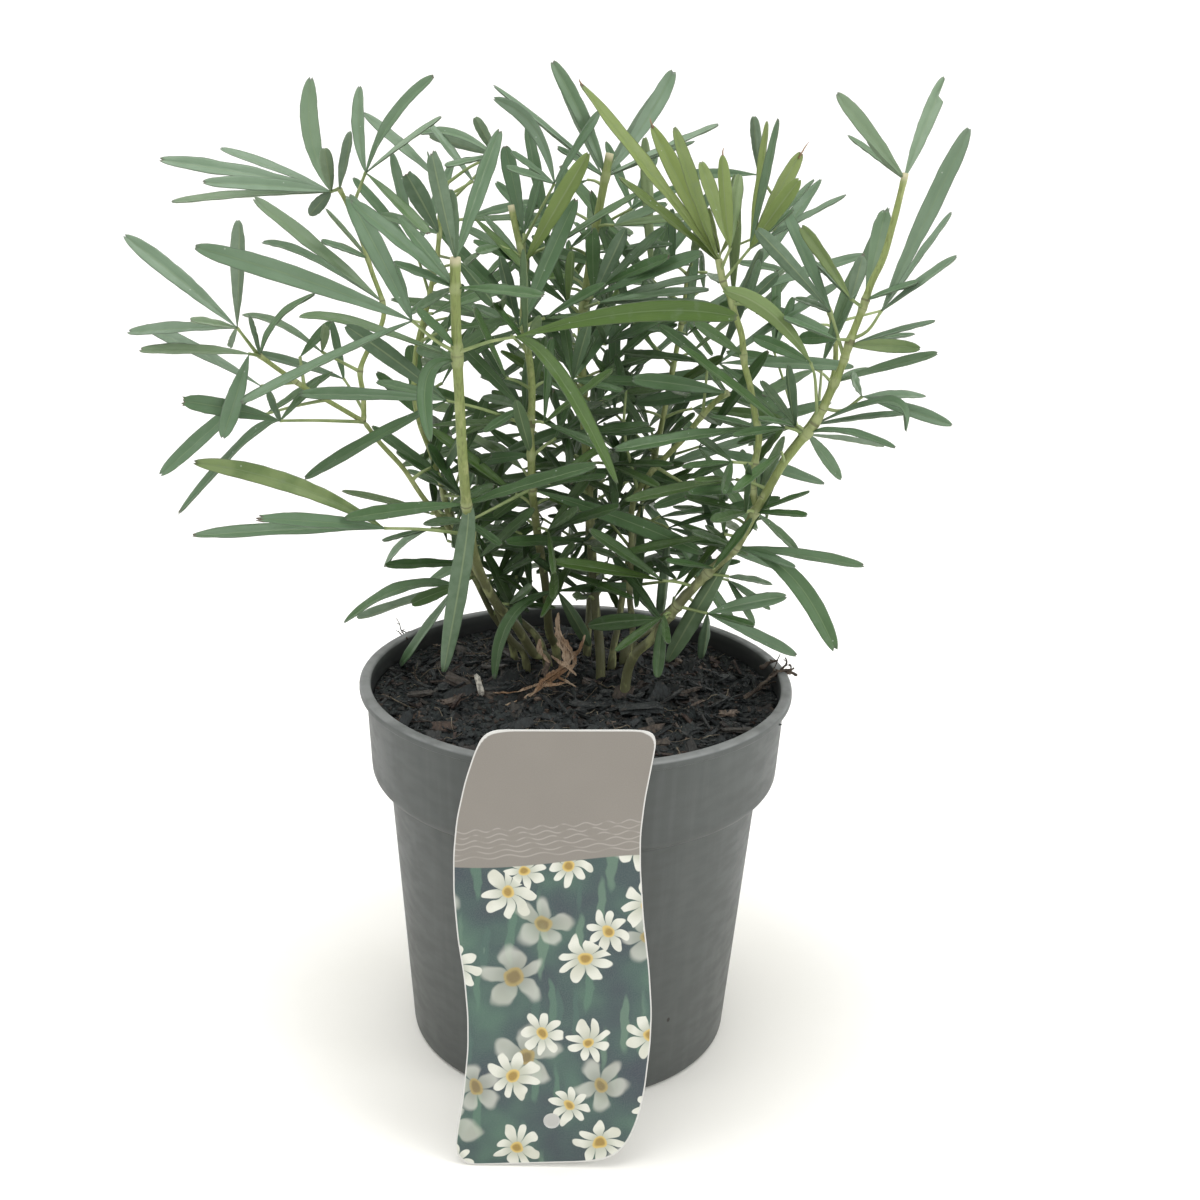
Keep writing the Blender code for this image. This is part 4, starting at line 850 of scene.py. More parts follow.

# Stems: woody shoots that rise from one rootstock hidden in the compost, brown-olive and fissured
# below and yellow-green above, with a ring where each leaf grows; their darkening towards the foot is
# partly older bark and partly painted shade. The taller ones were cut back and end in a pale cut. Each
# is swept along its route, down into its hole in the compost.
# Each stem has routes of sighted points (x, z, y), the first from the compost and the others from
# a fork, and its thickness at the foot and at the top. Each leaf is (petiole, depth, leaflets):
# the petiole's points (x, z) from the stem to the hub, the hub's depth y (None: the stem's own),
# and for each leaflet its tip x and z, the width that shows, and the crown of its arch if it has one.
STEMS = {
    "stem_front_left": {
        "thick": (3.9, 3.4),
        "routes": (
            ((-11.5, 152, 18), (-17, 161, 12), (-24, 172, 4), (-33, 183, -8), (-39, 196, -20),
             (-42, 208, -32), (-43.5, 221, -42), (-45, 240, -50), (-46, 260, -56), (-47, 280, -60),
             (-47.5, 300, -63), (-47.5, 314, -64)),),
        "leaves": (
            (((-47, 279), (-55, 283.5), (-63.5, 290.5)), -72,
             ((-142, 315, 8.5), (-86, 335, 8.5), (-128, 258, 4.5), (-69, 311, 3))),
            (((-47, 279), (-35, 283.5), (-25.5, 285.5)), -78,
             ((56, 295, 8.5, 20, 296), (14, 230.5, 6.5, -8, 271))),
            (((-47, 278), (-50, 278)), -50, ((-105, 291, 4.5, -85, 289.5),)),
            (((-43.5, 221),), None, ((-90, 214, 6.5), (-52.5, 152, 9, -44, 205), (6, 238, 6.5))),
            (((-42, 209), (-60, 210.5), (-75, 210.5)), -50,
             ((-149, 205.5, 5), (-147, 234.5, 8.5, -110, 227), (-123, 213, 6))),
            (((-47, 276),), None, ((-57, 245, 7, -58, 270), (-62, 280, 6))),
            (((-47, 313),), None,
             ((-56, 351, 7), (-31.5, 359, 6), (-49, 338, 5), (-34, 297, 5))),
            (((-47.5, 303),), None,
             ((-85, 333, 6), (-68, 328, 4), (-70, 311.5, 3), (-65, 293, 4), (-15, 301, 4.5))),
            (((-47, 281),), None, ((-62, 295, 4),)),
        ),
    },
    "stem_left": {
        "thick": (3.7, 2.0),
        "routes": (
            ((-20, 154, 18), (-27, 168, 16), (-33, 182, 12), (-42, 198, 4), (-50, 211, -2),
             (-59.5, 222.5, -8), (-67.5, 234.5, -12), (-76, 244, -16), (-82, 252, -18)),
            ((-82, 252, -18), (-96, 260, -22), (-104, 264.5, -25), (-112, 270, -27),
             (-121, 276.5, -30)),
            ((-82, 252, -18), (-82, 262, -15), (-83, 271, -12), (-80, 279, -10), (-75, 288, -8),
             (-74, 296, -5), (-78, 308, -2), (-81, 318, 0), (-86, 331, 3), (-89, 337, 5)),),
        "leaves": (
            (((-121, 276.5), (-128, 286)), -35,
             ((-167.5, 318.5, 8), (-126, 325, 6), (-168.5, 283.5, 5), (-145, 288.5, 3),
              (-131, 279, 2.5))),
            (((-120, 276), (-124, 276.5)), -36, ((-164.5, 277, 5), (-135.5, 244, 8))),
            (((-120, 276),), None, ((-123.5, 290.5, 1.8), (-99, 299.5, 2.5, -113, 290))),
            (((-107, 266), (-120, 264.5)), -24, ((-162, 286, 6), (-160, 229, 7))),
            (((-82, 252), (-100, 252), (-113.5, 251.5)), -34,
             ((-150, 258, 8), (-154, 214, 3.5, -128, 243), (-118, 262.5, 3.5), (-98, 268, 4))),
            (((-83, 271), (-97, 278)), -10, ((-126, 291, 3.5, -113, 288.5), (-95, 288, 4))),
            (((-89, 337), (-92, 336)), 8,
             ((-98, 375, 8.5), (-153, 345.5, 6.5), (-131, 350, 4), (-138, 338, 6),
              (-149.5, 331, 4), (-100, 327.5, 6), (-94, 351, 6))),
            (((-89, 337),), None, ((-85, 357, 4),)),
            (((-85, 329), (-79.5, 343)), -2,
             ((-81, 372.5, 5.5), (-55, 376.5, 6, -70, 362), (-52.5, 363, 2), (-57, 322, 5))),
            (((-75, 297),), None, ((-120, 333, 6.5), (-117.5, 317.5, 4.5, -100, 313))),
            (((-79, 313),), None, ((-96, 318.5, 3), (-94, 330, 1.5))),
        ),
    },
    "stem_left_inner": {
        "thick": (3.2, 1.9),
        "routes": (
            ((-25, 158, 30), (-34, 178, 24), (-44, 200, 18), (-50, 215, 14), (-53, 228, 10),
             (-57, 241, 6), (-61, 252, 2), (-63, 264, 0), (-62, 280, 0), (-58, 296, 2),
             (-55, 310, 4), (-53, 325, 6), (-53, 342, 10)),),
        "leaves": (
            (((-53, 341),), None, ((-80, 363.5, 4.5),)),
            (((-53, 322),), None, ((-65, 343, 6), (-74.5, 328.5, 5))),
            (((-53, 334), (-41, 341)), 8, ((-56.5, 360.5, 3.5),)),
            (((-53, 338), (-42, 346), (-33, 350)), 12,
             ((-40.5, 363, 5), (-60, 357, 4.5, -48, 357.5), (-51, 346, 3))),
            (((-53, 224), (-45, 224)), 2,
             ((-79, 250.5, 5.5), (-70, 241, 2.5), (-66, 234, 4), (-58, 244, 4.5))),
            (((-50, 216), (-57, 217)), 6, ((-91, 225, 3),)),
            (((-41, 192), (-47, 188)), 8,
             ((-91.5, 171.5, 6, -70, 186.5), (-65, 180, 6.5), (-70, 154, 5))),
            (((-43, 197),), None, ((-75, 195.5, 5.5),)),
            (((-49, 211), (-57, 211)), 10, ((-75.5, 195, 3, -68, 205), (-76, 205.5, 2))),
        ),
    },
    "stem_front_mid": {
        "thick": (3.8, 2.4),
        "routes": (
            ((-8, 157, 28), (-11, 170, 22), (-12.5, 187, 14), (-14.5, 200, 8), (-16.5, 212, 2),
             (-18.5, 228, -6), (-19, 240, -9), (-19.5, 252, -11), (-19, 261, -8), (-19.5, 272, -4),
             (-21, 282, 0), (-22.5, 291, 2), (-22.5, 302, 4), (-22.5, 313, 6),
             (-25, 322, 8), (-27.5, 333, 10)),),
        "leaves": (
            (((-19.5, 252), (-37, 258), (-51, 261)), -32,
             ((-106, 262, 6.5), (-105, 229.5, 6), (-88, 288, 8), (-77, 267.5, 4))),
            (((-18, 254), (-23, 259)), -16, ((-46, 282, 6), (-37, 249.5, 4), (-37.5, 263, 4.5))),
            (((-18.5, 228), (-43, 214)), -24, ((-60, 213, 4), (-30, 205, 4))),
            (((-18, 227.5),), None, ((48, 204, 8), (12, 236, 5))),
            (((-22, 289), (-24, 289)), -8, ((-4, 336, 8), (-31, 315, 5), (-41, 297, 4))),
            (((-22.5, 312),), None, ((0, 352, 8), (-44, 325, 4), (-41, 320, 3), (-37, 329, 3))),
            (((-24, 318), (-12, 341)), 5,
             ((-34, 369.5, 6, -20, 360), (-27.5, 351.5, 3), (3.5, 366, 5), (-29, 346, 3))),
            (((-19, 241),), None, ((-25, 262, 6), (-43, 237, 6))),
        ),
    },
    "stem_centre": {
        "thick": (4.0, 3.0),
        "routes": (
            ((9.5, 152, 11), (8.5, 168, 13), (7, 179, 14), (5.5, 195, 16), (4, 215, 18),
             (2, 240, 20), (0, 265, 22), (-1, 290, 24), (1, 310, 25), (3, 325, 26), (5, 337, 26),
             (7.5, 352, 26)),),
        "leaves": (
            (((5, 344),), None,
             ((-13.5, 382.5, 7), (29, 380.5, 8), (-34, 374, 2), (18.5, 359, 3), (-11, 353.5, 2.5),
              (45.5, 363, 3), (37.5, 357, 2))),
            (((0, 300), (3, 301)), 10, ((2, 326, 7), (14, 326, 7), (28, 327, 5), (42, 318, 6))),
            (((0, 297), (5, 299)), 0, ((44, 310, 3), (45, 305, 3), (46, 300, 3))),
            (((0, 266), (-4, 270)), -2,
             ((31, 269.5, 4.5), (15, 266.5, 3), (10, 294, 7), (1, 291, 6), (-8, 292, 5))),
            (((6, 190), (-8, 187)), -5, ((5, 164.5, 6.5), (-32.5, 149, 6, -26, 176), (24, 189.5, 5))),
            (((4.5, 209),), None, ((-11, 205.5, 2.5), (-8, 200, 2.5))),
        ),
    },
    "stem_right": {
        "thick": (4.3, 2.2),
        "routes": (
            ((19.5, 147, -5), (22.5, 161, -8), (29.5, 168.5, -11), (37, 180, -15), (48, 194, -20),
             (60, 207, -25), (66, 220, -28), (71.5, 231, -30), (76, 240, -31), (81, 247.5, -32),
             (87, 256, -33), (92, 268, -34), (95.5, 278, -34), (98, 288, -34), (101.5, 299.5, -33),
             (104, 309, -32), (107.5, 318, -30), (110, 330, -28), (113, 348, -25)),
            ((67, 223, -28), (65, 232, -27), (65.5, 240, -26), (66.5, 250, -24), (64.5, 259, -22),
             (62, 270, -20), (59.5, 278, -18), (58, 288, -16), (55.5, 295, -14), (53, 302, -12),
             (50, 308, -11), (48, 316, -10)),
            ((22.5, 161, -8), (22, 167, -6), (21, 178, -2), (20, 186, 2), (20, 205, 6),
             (20, 223, 8), (26, 235, 8), (32, 242, 8), (39, 250, 6), (44, 257, 4), (50, 264, 2),
             (54, 267, 0)),),
        "leaves": (
            (((113, 346),), None,
             ((86.5, 374.5, 6), (91.5, 360.5, 2), (98.5, 360, 5), (124, 381, 7))),
            (((98, 288), (104, 291.5), (108.5, 299)), -38,
             ((134, 364, 7.5), (130.5, 335, 2.5), (134, 319.5, 3))),
            (((102, 303),), None, ((121, 310, 2.5), (107, 335, 7))),
            (((101, 300), (97, 303)), -38, ((77, 328.5, 6), (100, 318.5, 6), (82.5, 316.5, 2))),
            (((96, 281), (90, 298)), -30, ((70, 336, 5.5), (61, 327, 7), (76.5, 303, 3))),
            (((97, 286),), None, ((124, 285.5, 6), (121.5, 291, 2), (128.5, 296, 2))),
            (((98, 288), (93, 288)), -40, ((79, 288, 6), (73, 295.5, 2.5))),
            (((93.5, 272),), None, ((130.5, 284, 4), (105, 278, 2))),
            (((90, 262), (97, 261.5), (104, 267)), -30,
             ((138.5, 257, 5.5), (127.5, 268, 2.5), (99.5, 275, 3))),
            (((87, 256),), None, ((121.5, 254, 4, 114, 266), (127.5, 262, 2.5))),
            (((85, 252),), None, ((118, 248, 3.5, 98, 254), (98.7, 235, 5))),
            (((88, 258), (86, 273), (84, 279)), -42, ((50, 305, 7.5, 68, 297), (62, 288, 6))),
            (((84, 252), (80, 255)), -28,
             ((58.5, 248, 4), (76, 278, 4), (66, 272, 4), (66, 257.5, 2))),
            (((67, 221),), None, ((86.5, 220.5, 3.5), (84.5, 206, 4), (87, 230, 1.5))),
            (((60, 207),), None,
             ((101.5, 165.5, 9, 82, 196), (110, 201, 5), (83.5, 199.5, 3.5), (35.5, 158.5, 9),
              (43, 212.5, 3), (37, 209, 3))),
            (((50, 196), (58, 195)), -24, ((75, 192.5, 3),)),
            (((39, 182), (50.5, 179.5)), -24,
             ((81, 187.5, 7), (86.5, 163, 5.5), (49, 160.5, 5), (69, 175, 3))),
            (((36, 178.5), (33, 176.5)), -20, ((4, 173, 8), (32, 152, 6), (13, 201.5, 5))),
            (((48, 315),), None,
             ((-3.5, 375.5, 5.5), (22, 362, 7), (30, 361.5, 5.5), (11, 344, 4))),
            (((49, 312), (52, 320)), -16, ((40, 350, 6), (47.5, 352.5, 6), (54, 346, 5.5))),
            (((50, 308), (59, 320)), -12,
             ((62.5, 364.5, 3), (66.5, 365.5, 3), (75.5, 354, 6.5), (75.5, 345, 7),
              (80.5, 345, 2.5), (92.5, 340, 2), (74, 334.5, 1.5))),
            (((54, 300), (59, 300)), -16, ((63, 316, 4), (70, 311.5, 5), (73, 314, 2))),
            (((59, 281),), None, ((40, 293, 5),)),
            (((65.5, 254),), None, ((12, 244, 6), (47.5, 258, 2.5))),
            (((65.5, 240), (57, 240.5)), -32,
             ((39, 253, 4), (38, 238, 3), (41, 234, 3.5), (54, 228, 4))),
            (((65.5, 230),), None, ((41, 228, 4),)),
            (((54, 266.5),), None, ((18, 271, 7.5), (20, 262, 6.5))),
            (((45, 258), (46, 278)), 2, ((14, 281, 4), (27, 291.5, 5), (37, 285, 3))),
            (((22, 227), (16, 250), (16, 267)), 4, ((11.5, 280, 3.5), (22, 277, 1.5), (8, 263, 2.5))),
            (((28, 238), (45, 228)), 0, ((20, 237, 5), (28, 222, 5), (60, 220, 4), (56, 226, 3))),
            (((20, 190), (38, 193)), -2, ((28, 201, 4), (46, 203, 4))),
        ),
    },
    "stem_inner_right": {
        "thick": (3.6, 2.2),
        "routes": (
            ((14, 158, 25), (16, 175, 28), (19, 200, 32), (24, 225, 36), (29, 250, 38),
             (33, 275, 40), (36, 296, 42), (37, 310, 43)),),
        "sprays": (((22, 218), (34, 214), -35), ((20, 205), (6, 222), 165),
                   ((27, 240), (44, 246), 5), ((27, 243), (12, 258), 150),
                   ((32, 268), (50, 278), 20), ((33, 276), (18, 292), 130),
                   ((35, 292), (54, 302), 40), ((36, 298), (24, 308), 115)),
    },
    "stem_back_left": {
        "thick": (3.8, 2.2),
        "routes": (
            ((-14, 160, 37), (-29, 180, 42), (-42, 199, 46), (-49, 215, 50), (-53, 228, 54),
             (-57, 241, 57), (-60, 254, 60), (-61, 268, 62), (-60, 284, 64), (-57, 300, 66),
             (-54, 315, 67), (-53, 330, 68)),),
        "behind": (("stem_left", 1), ("stem_left_inner", 0), ("stem_front_left", 0)),
    },
    "stem_back_mid": {
        "thick": (3.8, 2.2),
        "routes": (
            ((4, 163, 40), (4.5, 180, 46), (4, 200, 52), (3, 220, 56), (1.5, 240, 60),
             (0, 262, 62), (-1, 285, 64), (0, 305, 66), (3, 325, 67), (5, 341, 68)),),
        "behind": (("stem_centre", 0),),
        "sprays": (((3, 205), (-14, 216), 195), ((3, 222), (18, 232), 5), ((1, 238), (-18, 250), 180),
                   ((-1, 262), (14, 270), 25), ((-1, 280), (-20, 290), 155)),
    },
    "stem_back_right": {
        "thick": (4.2, 2.2),
        "routes": (
            ((19, 161, 33), (29, 173, 40), (38, 183, 46), (49, 196, 52), (59, 208, 58),
             (65.5, 220, 62), (71, 232, 66), (76, 242, 70), (82, 251, 73), (88, 261, 75),
             (92, 271, 76), (93, 282, 76), (91, 294, 75), (86, 306, 72), (80, 318, 68),
             (74, 330, 62)),),
        "leaves": ((((76, 326), (61, 346)), 52, ((33, 345, 5), (58, 366, 5))),),
        "behind": (("stem_right", 1),),
    },
}
# A spray is a whole leaf: (where its petiole leaves the stem, its hub, the way it points in
# degrees), with leaflets fanned about that way. A leaf of a back stem may also stand on the sight
# line of a front leaf, this much behind its own stem, when that leaf's hub lies within reach.
SPRAY_FAN = ((-58, 40), (-20, 50), (16, 52), (52, 44))
SPRAY_WIDTH = 5.6
SPRAY_STEP = 6.0
BEHIND_STEP = 12.0
BEHIND_REACH = 30.0
BEHIND_FOOT = 172
BEHIND_EVERY = 3
BEHIND_SHORTER = 0.88
BEHIND_WIDTH = 5.4
FOOT_Z = 118.0
FOOT_TOP_Z = 150.0
WOOD_STEP = 1.6
RING_SWELL = 0.30
RING_HALF = 1.5
RING_SHOWN = 6.0
CUT_SMOOTH = 7.0
CUT_SHOWN = 9.0
FINE_STEMS = ("stem_inner_right", "stem_back_left", "stem_back_mid", "stem_back_right", "stem_left",
              "stem_left_inner")
FINE_SHARE = 0.84
FORK_SHARE = 0.80
CALLUS = 1.03
CUT_BACK = ("stem_front_left", "stem_right", "stem_front_mid", "stem_centre", "stem_back_right")


def on_route(routes, x, z):
    """Return how far away, in the sighted plane, and which sighted point of the routes is nearest."""
    best = None
    for route in routes:
        for start, end in zip(route, route[1:]):
            run = Vector((end[0] - start[0], end[1] - start[1]))
            share = Vector((x - start[0], z - start[1])).dot(run) / max(run.length_squared, 1e-6)
            share = min(1.0, max(0.0, share))
            point = tuple(a + (b - a) * share for a, b in zip(start, end))
            away = math.hypot(point[0] - x, point[1] - z)
            if best is None or away < best[0]:
                best = (away, point)
    return best


def leaf_list(stem):
    """Return a stem's leaves: its own, and those that stand behind leaves of front stems."""
    leaves = [(leaf, 1) for leaf in STEMS[stem].get("leaves", ())]
    routes = STEMS[stem]["routes"]
    for start, hub, way in STEMS[stem].get("sprays", ()):
        tips = tuple((hub[0] + length * math.cos(math.radians(way + fan)),
                      hub[1] + length * math.sin(math.radians(way + fan)), SPRAY_WIDTH)
                     for fan, length in SPRAY_FAN)
        side = SPRAY_STEP if len(leaves) % 2 else -SPRAY_STEP
        leaves.append((((start, hub), on_route(routes, *start)[1][2] + side, tips), 1))
    for front, first in STEMS[stem].get("behind", ()):
        for path, _, tips in STEMS[front]["leaves"][first::BEHIND_EVERY]:
            hub = path[-1]
            away, start = on_route(routes, *hub)
            if away > BEHIND_REACH or hub[1] < BEHIND_FOOT:
                continue
            back = tuple((hub[0] + (tip[0] - hub[0]) * BEHIND_SHORTER,
                          hub[1] + (tip[1] - hub[1]) * BEHIND_SHORTER,
                          min(tip[2], BEHIND_WIDTH)) for tip in tips[:3])
            leaves.append((((start[:2], hub), start[2] + BEHIND_STEP, back), -1))
    return leaves


def stem_wood(stem):
    """Sweep a stem and its forks, swollen where leaves grow, and return them joined."""
    routes = STEMS[stem]["routes"]
    thick_foot, thick_top = STEMS[stem]["thick"]
    rings = [sighted(*on_route(routes, *leaf[0][0])[1]) for leaf, _ in leaf_list(stem)]
    woods = []
    for number, route in enumerate(routes):
        knots = [sighted(*point) for point in route]
        if number == 0:
            base = knots[0]
            knots[0] = Vector((base.x, base.y, FOOT_Z))
            knots.insert(1, Vector((base.x, base.y, FOOT_TOP_Z)))
        way = smooth_way(knots, WOOD_STEP)
        start = thick_foot if number == 0 else (thick_foot * 0.45 + thick_top * 0.55) * FORK_SHARE
        radii = []
        for index, point in enumerate(way):
            radius = (start + (thick_top - start) * index / (len(way) - 1)) / 2
            near = min((point - ring).length for ring in rings)
            swell = RING_SWELL * math.exp(-(near / RING_HALF) ** 2)
            if number == 0 and stem in CUT_BACK:
                swell *= min(1.0, (len(way) - 1 - index) * WOOD_STEP / CUT_SMOOTH)
            knobs = 0.05 * noise.noise(point * 0.25)
            slim = FINE_SHARE if stem in FINE_STEMS and point.z > POT_HEIGHT else 1.0
            radii.append(radius * slim * (1.0 + swell + knobs))
        if number > 0:
            radii[0] *= 0.7
        elif stem not in CUT_BACK:
            radii[-1] *= 0.45
        else:
            radii[-3:] = [radius * CALLUS for radius in radii[-3:]]
        limb = swept(way, radii, 3)
        band = []
        for corner in limb.data.vertices:
            point = corner.co / MM
            ring = min(rings, key=lambda place: (place - point).length)
            close = min(range(len(way)), key=lambda index: (way[index] - ring).length)
            ahead = (way[min(close + 1, len(way) - 1)] - way[max(close - 1, 0)]).normalized()
            near = (point - ring).length < RING_SHOWN
            band.append(min(RING_SHOWN, abs((point - ring).dot(ahead))) if near else RING_SHOWN)
        limb.data.attributes.new("node_band", 'FLOAT', 'POINT').data.foreach_set("value", band)
        whole = number > 0 or stem not in CUT_BACK
        cut = [(corner.co / MM - way[-1]).length for corner in limb.data.vertices]
        cut = [CUT_SHOWN if whole else min(CUT_SHOWN, away) for away in cut]
        limb.data.attributes.new("cut_away", 'FLOAT', 'POINT').data.foreach_set("value", cut)
        woods.append(limb)
    return joined(woods)


wood = {stem: stem_wood(stem) for stem in STEMS}
stem_bark = new_material("stem_bark", 0.45, 0.5)
place = object_place(stem_bark)
height = apart(place)[2]
mottle = cloudy(place, (210, 210, 90), 4.0)
ridges = cloudy(place, (1500, 1500, 110), 4.0)
# Darker and browner towards the foot: partly older bark, partly painted shade low in the shrub.
old = plus(between(height, 0.265, 0.158), times(mottle, 0.5))
olive = ramp(old, (0.20, (0.220, 0.272, 0.082)), (0.45, (0.172, 0.205, 0.062)),
             (0.75, (0.140, 0.155, 0.058)), (1.0, (0.108, 0.112, 0.050)))
olive = washed(olive, (0.085, 0.094, 0.030), ridges, 0.50, 0.64, 0.42)
# Pale patches: partly the bark's own mottling, partly a painted highlight.
olive = washed(olive, (0.38, 0.41, 0.18), mottle, 0.52, 0.66, 0.55)
band = stored(stem_bark, "node_band")["Fac"]
olive = washed(olive, (0.34, 0.38, 0.19), band, 2.6, 0.9, 0.45)
olive = washed(olive, (0.085, 0.070, 0.036), band, 0.55, 0.15, 0.65)
cut_away = stored(stem_bark, "cut_away")["Fac"]
dried = plus(cut_away, times(mottle, 2.0))
olive = washed(olive, (0.52, 0.47, 0.31), dried, 4.6, 2.8, 0.8)
dress(stem_bark, olive, between(mottle, 0.3, 0.7, 0.5, 0.72),
      ((ridges, 0.6, 0.3), (mottle, 0.3, 0.5)))
cut_wood = new_material("cut_wood", 0.75, 0.25)
place = object_place(cut_wood)
pith = cloudy(place, (700, 700, 700), 3.0)
dress(cut_wood, mixed(pith, (0.58, 0.54, 0.36), (0.74, 0.70, 0.52)), None,
      ((pith, 0.4, 0.3),))
for stem, piece in wood.items():
    piece.data.materials.append(stem_bark)
    piece.data.materials.append(cut_wood)
    top = sighted(*STEMS[stem]["routes"][0][-1]) * MM
    for face in piece.data.polygons:
        if stem in CUT_BACK and len(face.vertices) > 4 and (face.center - top).length < 2 * MM:
            face.material_index = 1
            face.use_smooth = False
    finish_piece(piece, stem + "_wood", "foliage", stem)

# Leaves: each is a thin petiole with three to seven narrow leathery leaflets spread from its end.
# A leaflet is a shallow channel with a sunken midrib, a slightly wavy edge and a blunt notched tip.
# One is modelled flat and each copy of it is bent to run from its hub to the tip of its own solid.
BLADE_THICK = 0.46
BLADE_CHANNEL = 0.27
BLADE_WIDEST = 8.2
BLADE_SLIM = 0.80
BLADE_ACROSS = 8
BLADE_ALONG = 24
SHORT_BLADE = 26.0
ARCH = 0.02
PETIOLE_FOOT = 0.72
PETIOLE_TOP = 0.50
PETIOLE_STEP = 2.0
YOUNG_TIPS = ((56, 295, 0.68), (14, 230.5, 0.55), (-147, 234.5, 0.50), (0, 352, 0.70), (-3.5, 375.5, 0.85),
              (22, 362, 1.0), (30, 361.5, 0.60), (11, 344, 0.85), (40, 350, 0.62), (47.5, 352.5, 1.0),
              (54, 346, 0.42), (62.5, 364.5, 0.9), (75.5, 354, 0.95), (75.5, 345, 0.85), (77, 328.5, 0.5),
              (124, 285.5, 0.45), (50, 305, 0.5), (18.5, 359, 0.4))
# Leaflets whose painted light is set one by one: higher is painted lighter, lower painted darker.
PAINTED_LIGHT_TIPS = ((-52.5, 152, 0.60), (35.5, 158.5, 0.50), (56, 295, 0.04), (-15, 301, 0.30))
SPIKED_TIPS = ((22, 362, 2.6), (47.5, 352.5, 2.4), (75.5, 354, 5.0), (-3.5, 375.5, 1.5))
SPLIT_TIPS = ((124.3, 380),)
SPIKE = (0.34, 0.24, 0.10)
TORN_TIPS = ((-56, 351), (-65, 343), (-150, 258), (-123, 213))
TORN_WIDTH = 0.5
TIP_REACH = 2.0
# Each leaflet's painted light grows with its distance from this core, seen from the front: painted shade
# darkens the leaflets inside the shrub and painted sheen lightens and greys those outside. The core sits
# left of the middle, so the right side is painted lighter.
SHADE_CORE_X = -5.0
SHADE_CORE_Z = 225.0
SHADE_CORE_REACH = 150.0

# Inner leaves: small opposite pairs up the inner stems, which fill the middle of the shrub. They stop
# inside an oval, seen from the front, and each stays clear of every leaflet and stem already there.
INNER_STEMS = (("stem_centre", 178, 325), ("stem_inner_right", 178, 318), ("stem_front_mid", 180, 318),
               ("stem_left_inner", 186, 325), ("stem_right", 172, 262), ("stem_left", 176, 240),
               ("stem_back_left", 178, 335), ("stem_back_mid", 178, 345), ("stem_back_right", 176, 335))
INNER_STEP = (9.0, 13.5)
INNER_LENGTH = (26.0, 48.0)
INNER_FAN = (-1.15, -0.75, -0.35, 0.0, 0.35, 0.75, 1.15)
INNER_X = 8.0
INNER_Z = 250.0
INNER_WIDE = 68.0
INNER_TALL = 92.0
INNER_ROUND = 118.0
INNER_CLEAR = 1.7
OPEN_SPOTS = ((-42, 268, 7), (-27, 248, 6), (29.5, 275, 5), (43.5, 245, 6), (-57, 292, 5), (82, 308, 6),
              (33, 186, 5), (84, 237, 8), (-53, 267, 6))

# Leaves between the others: each is (stem, the point (x, z) where it leaves the stem, its hub, the
# hub's depth y, leaflets), and a leaflet is (x, z, width that shows, step in depth from the hub).
EXTRA_LEAVES = (
    ("stem_front_mid", (-22.5, 312), (-22.7, 323), 14, ((-29.8, 353.5, 7.5, 4), (-17, 345, 4, -3))),
    ("stem_left", (-104, 264.5), (-105.2, 275.8), -16, ((-93.3, 289.2, 4.2, 5),)),
    ("stem_left", (-82, 256), (-89.1, 268.1), -2, ((-122.2, 277.2, 4.8, 6), (-93.1, 290, 3.5, 8))),
    ("stem_left", (-96, 260), (-118.7, 253.9), -14, ((-93.1, 270.6, 3.8, 8),)),
    ("stem_left_inner", (-57, 241), (-59.8, 254.1), 6, ((-64.3, 281.5, 8, 6), (-77, 271, 5.5, 4))),
    ("stem_left_inner", (-50, 217), (-43.7, 241.5), 4, ((-36, 263.2, 5.4, 4),)),
    ("stem_left_inner", (-33, 176), (-23.9, 192.7), 16, ((-33.5, 180, 6, 0), (-13, 181, 4.5, 2))),
    ("stem_back_right", (88, 261), (88.2, 278.7), 40, ((100, 318, 8, 6), (108, 336, 6, 8))),
    ("stem_back_right", (82, 251), (70.1, 283.1), 42, ((69.4, 313, 4.8, 4), (76, 303, 4, 5))),
    ("stem_right", (48, 194), (57.8, 193.5), -6, ((69.2, 175.7, 3.6, 3), (75, 182, 3, 6))),
    ("stem_right", (48, 316), (48.5, 318), -8,
     ((43.5, 334, 2.2, 2), (37, 331, 2.0, 4), (54.5, 330, 2.0, 1))),
    ("stem_back_mid", (0, 305), (-14, 322), 58, ((-22, 361, 5.5, 6), (-8, 349, 4.5, 6), (-33, 341, 5, 4))),
    ("stem_back_mid", (3, 325), (16, 333), 56, ((24, 352, 4.5, 5), (33, 341, 4.5, 3), (6, 356, 4.5, 5))),
    ("stem_back_left", (-57, 300), (-62, 316), 58,
     ((-84, 341, 5, 4), (-70, 350, 5, 6), (-48, 348, 4.5, 6))),
)
WIDE_TIPS = ((-3.5, 375.5, 0.70), (-55, 376.5, 0.72), (-65, 343, 1.5), (11, 344, 0.85), (107, 335, 1.15))
BOWED_TIPS = ((-98, 375, -3.6), (-81, 372.5, -1.6), (-13.5, 382.5, 1.5), (29, 380.5, 1.4))


def blade_master():
    """Model a flat leaflet a unit long and two wide: upper face, lower face and edge."""
    start_piece()
    bpy.ops.mesh.primitive_grid_add(x_subdivisions=BLADE_ACROSS, y_subdivisions=BLADE_ALONG, size=1.0)
    master = bpy.context.object
    flat = master.data.uv_layers[0] if master.data.uv_layers else master.data.uv_layers.new(name="blade")
    flat.name = "blade"
    for loop in master.data.loops:
        spot = master.data.vertices[loop.vertex_index].co
        flat.data[loop.index].uv = (spot.x + 0.5, spot.y + 0.5)
    wall = master.modifiers.new("blade wall", 'SOLIDIFY')
    wall.thickness = 1.0
    wall.offset = 0.0
    bpy.ops.object.modifier_apply(modifier=wall.name)
    for corner in master.data.vertices:
        corner.co.x *= 2
        corner.co.y += 0.5
    for face in master.data.polygons:
        face.material_index = 1 if all(master.data.vertices[i].co.z < 0 for i in face.vertices) else 0
        face.use_smooth = True
    return master


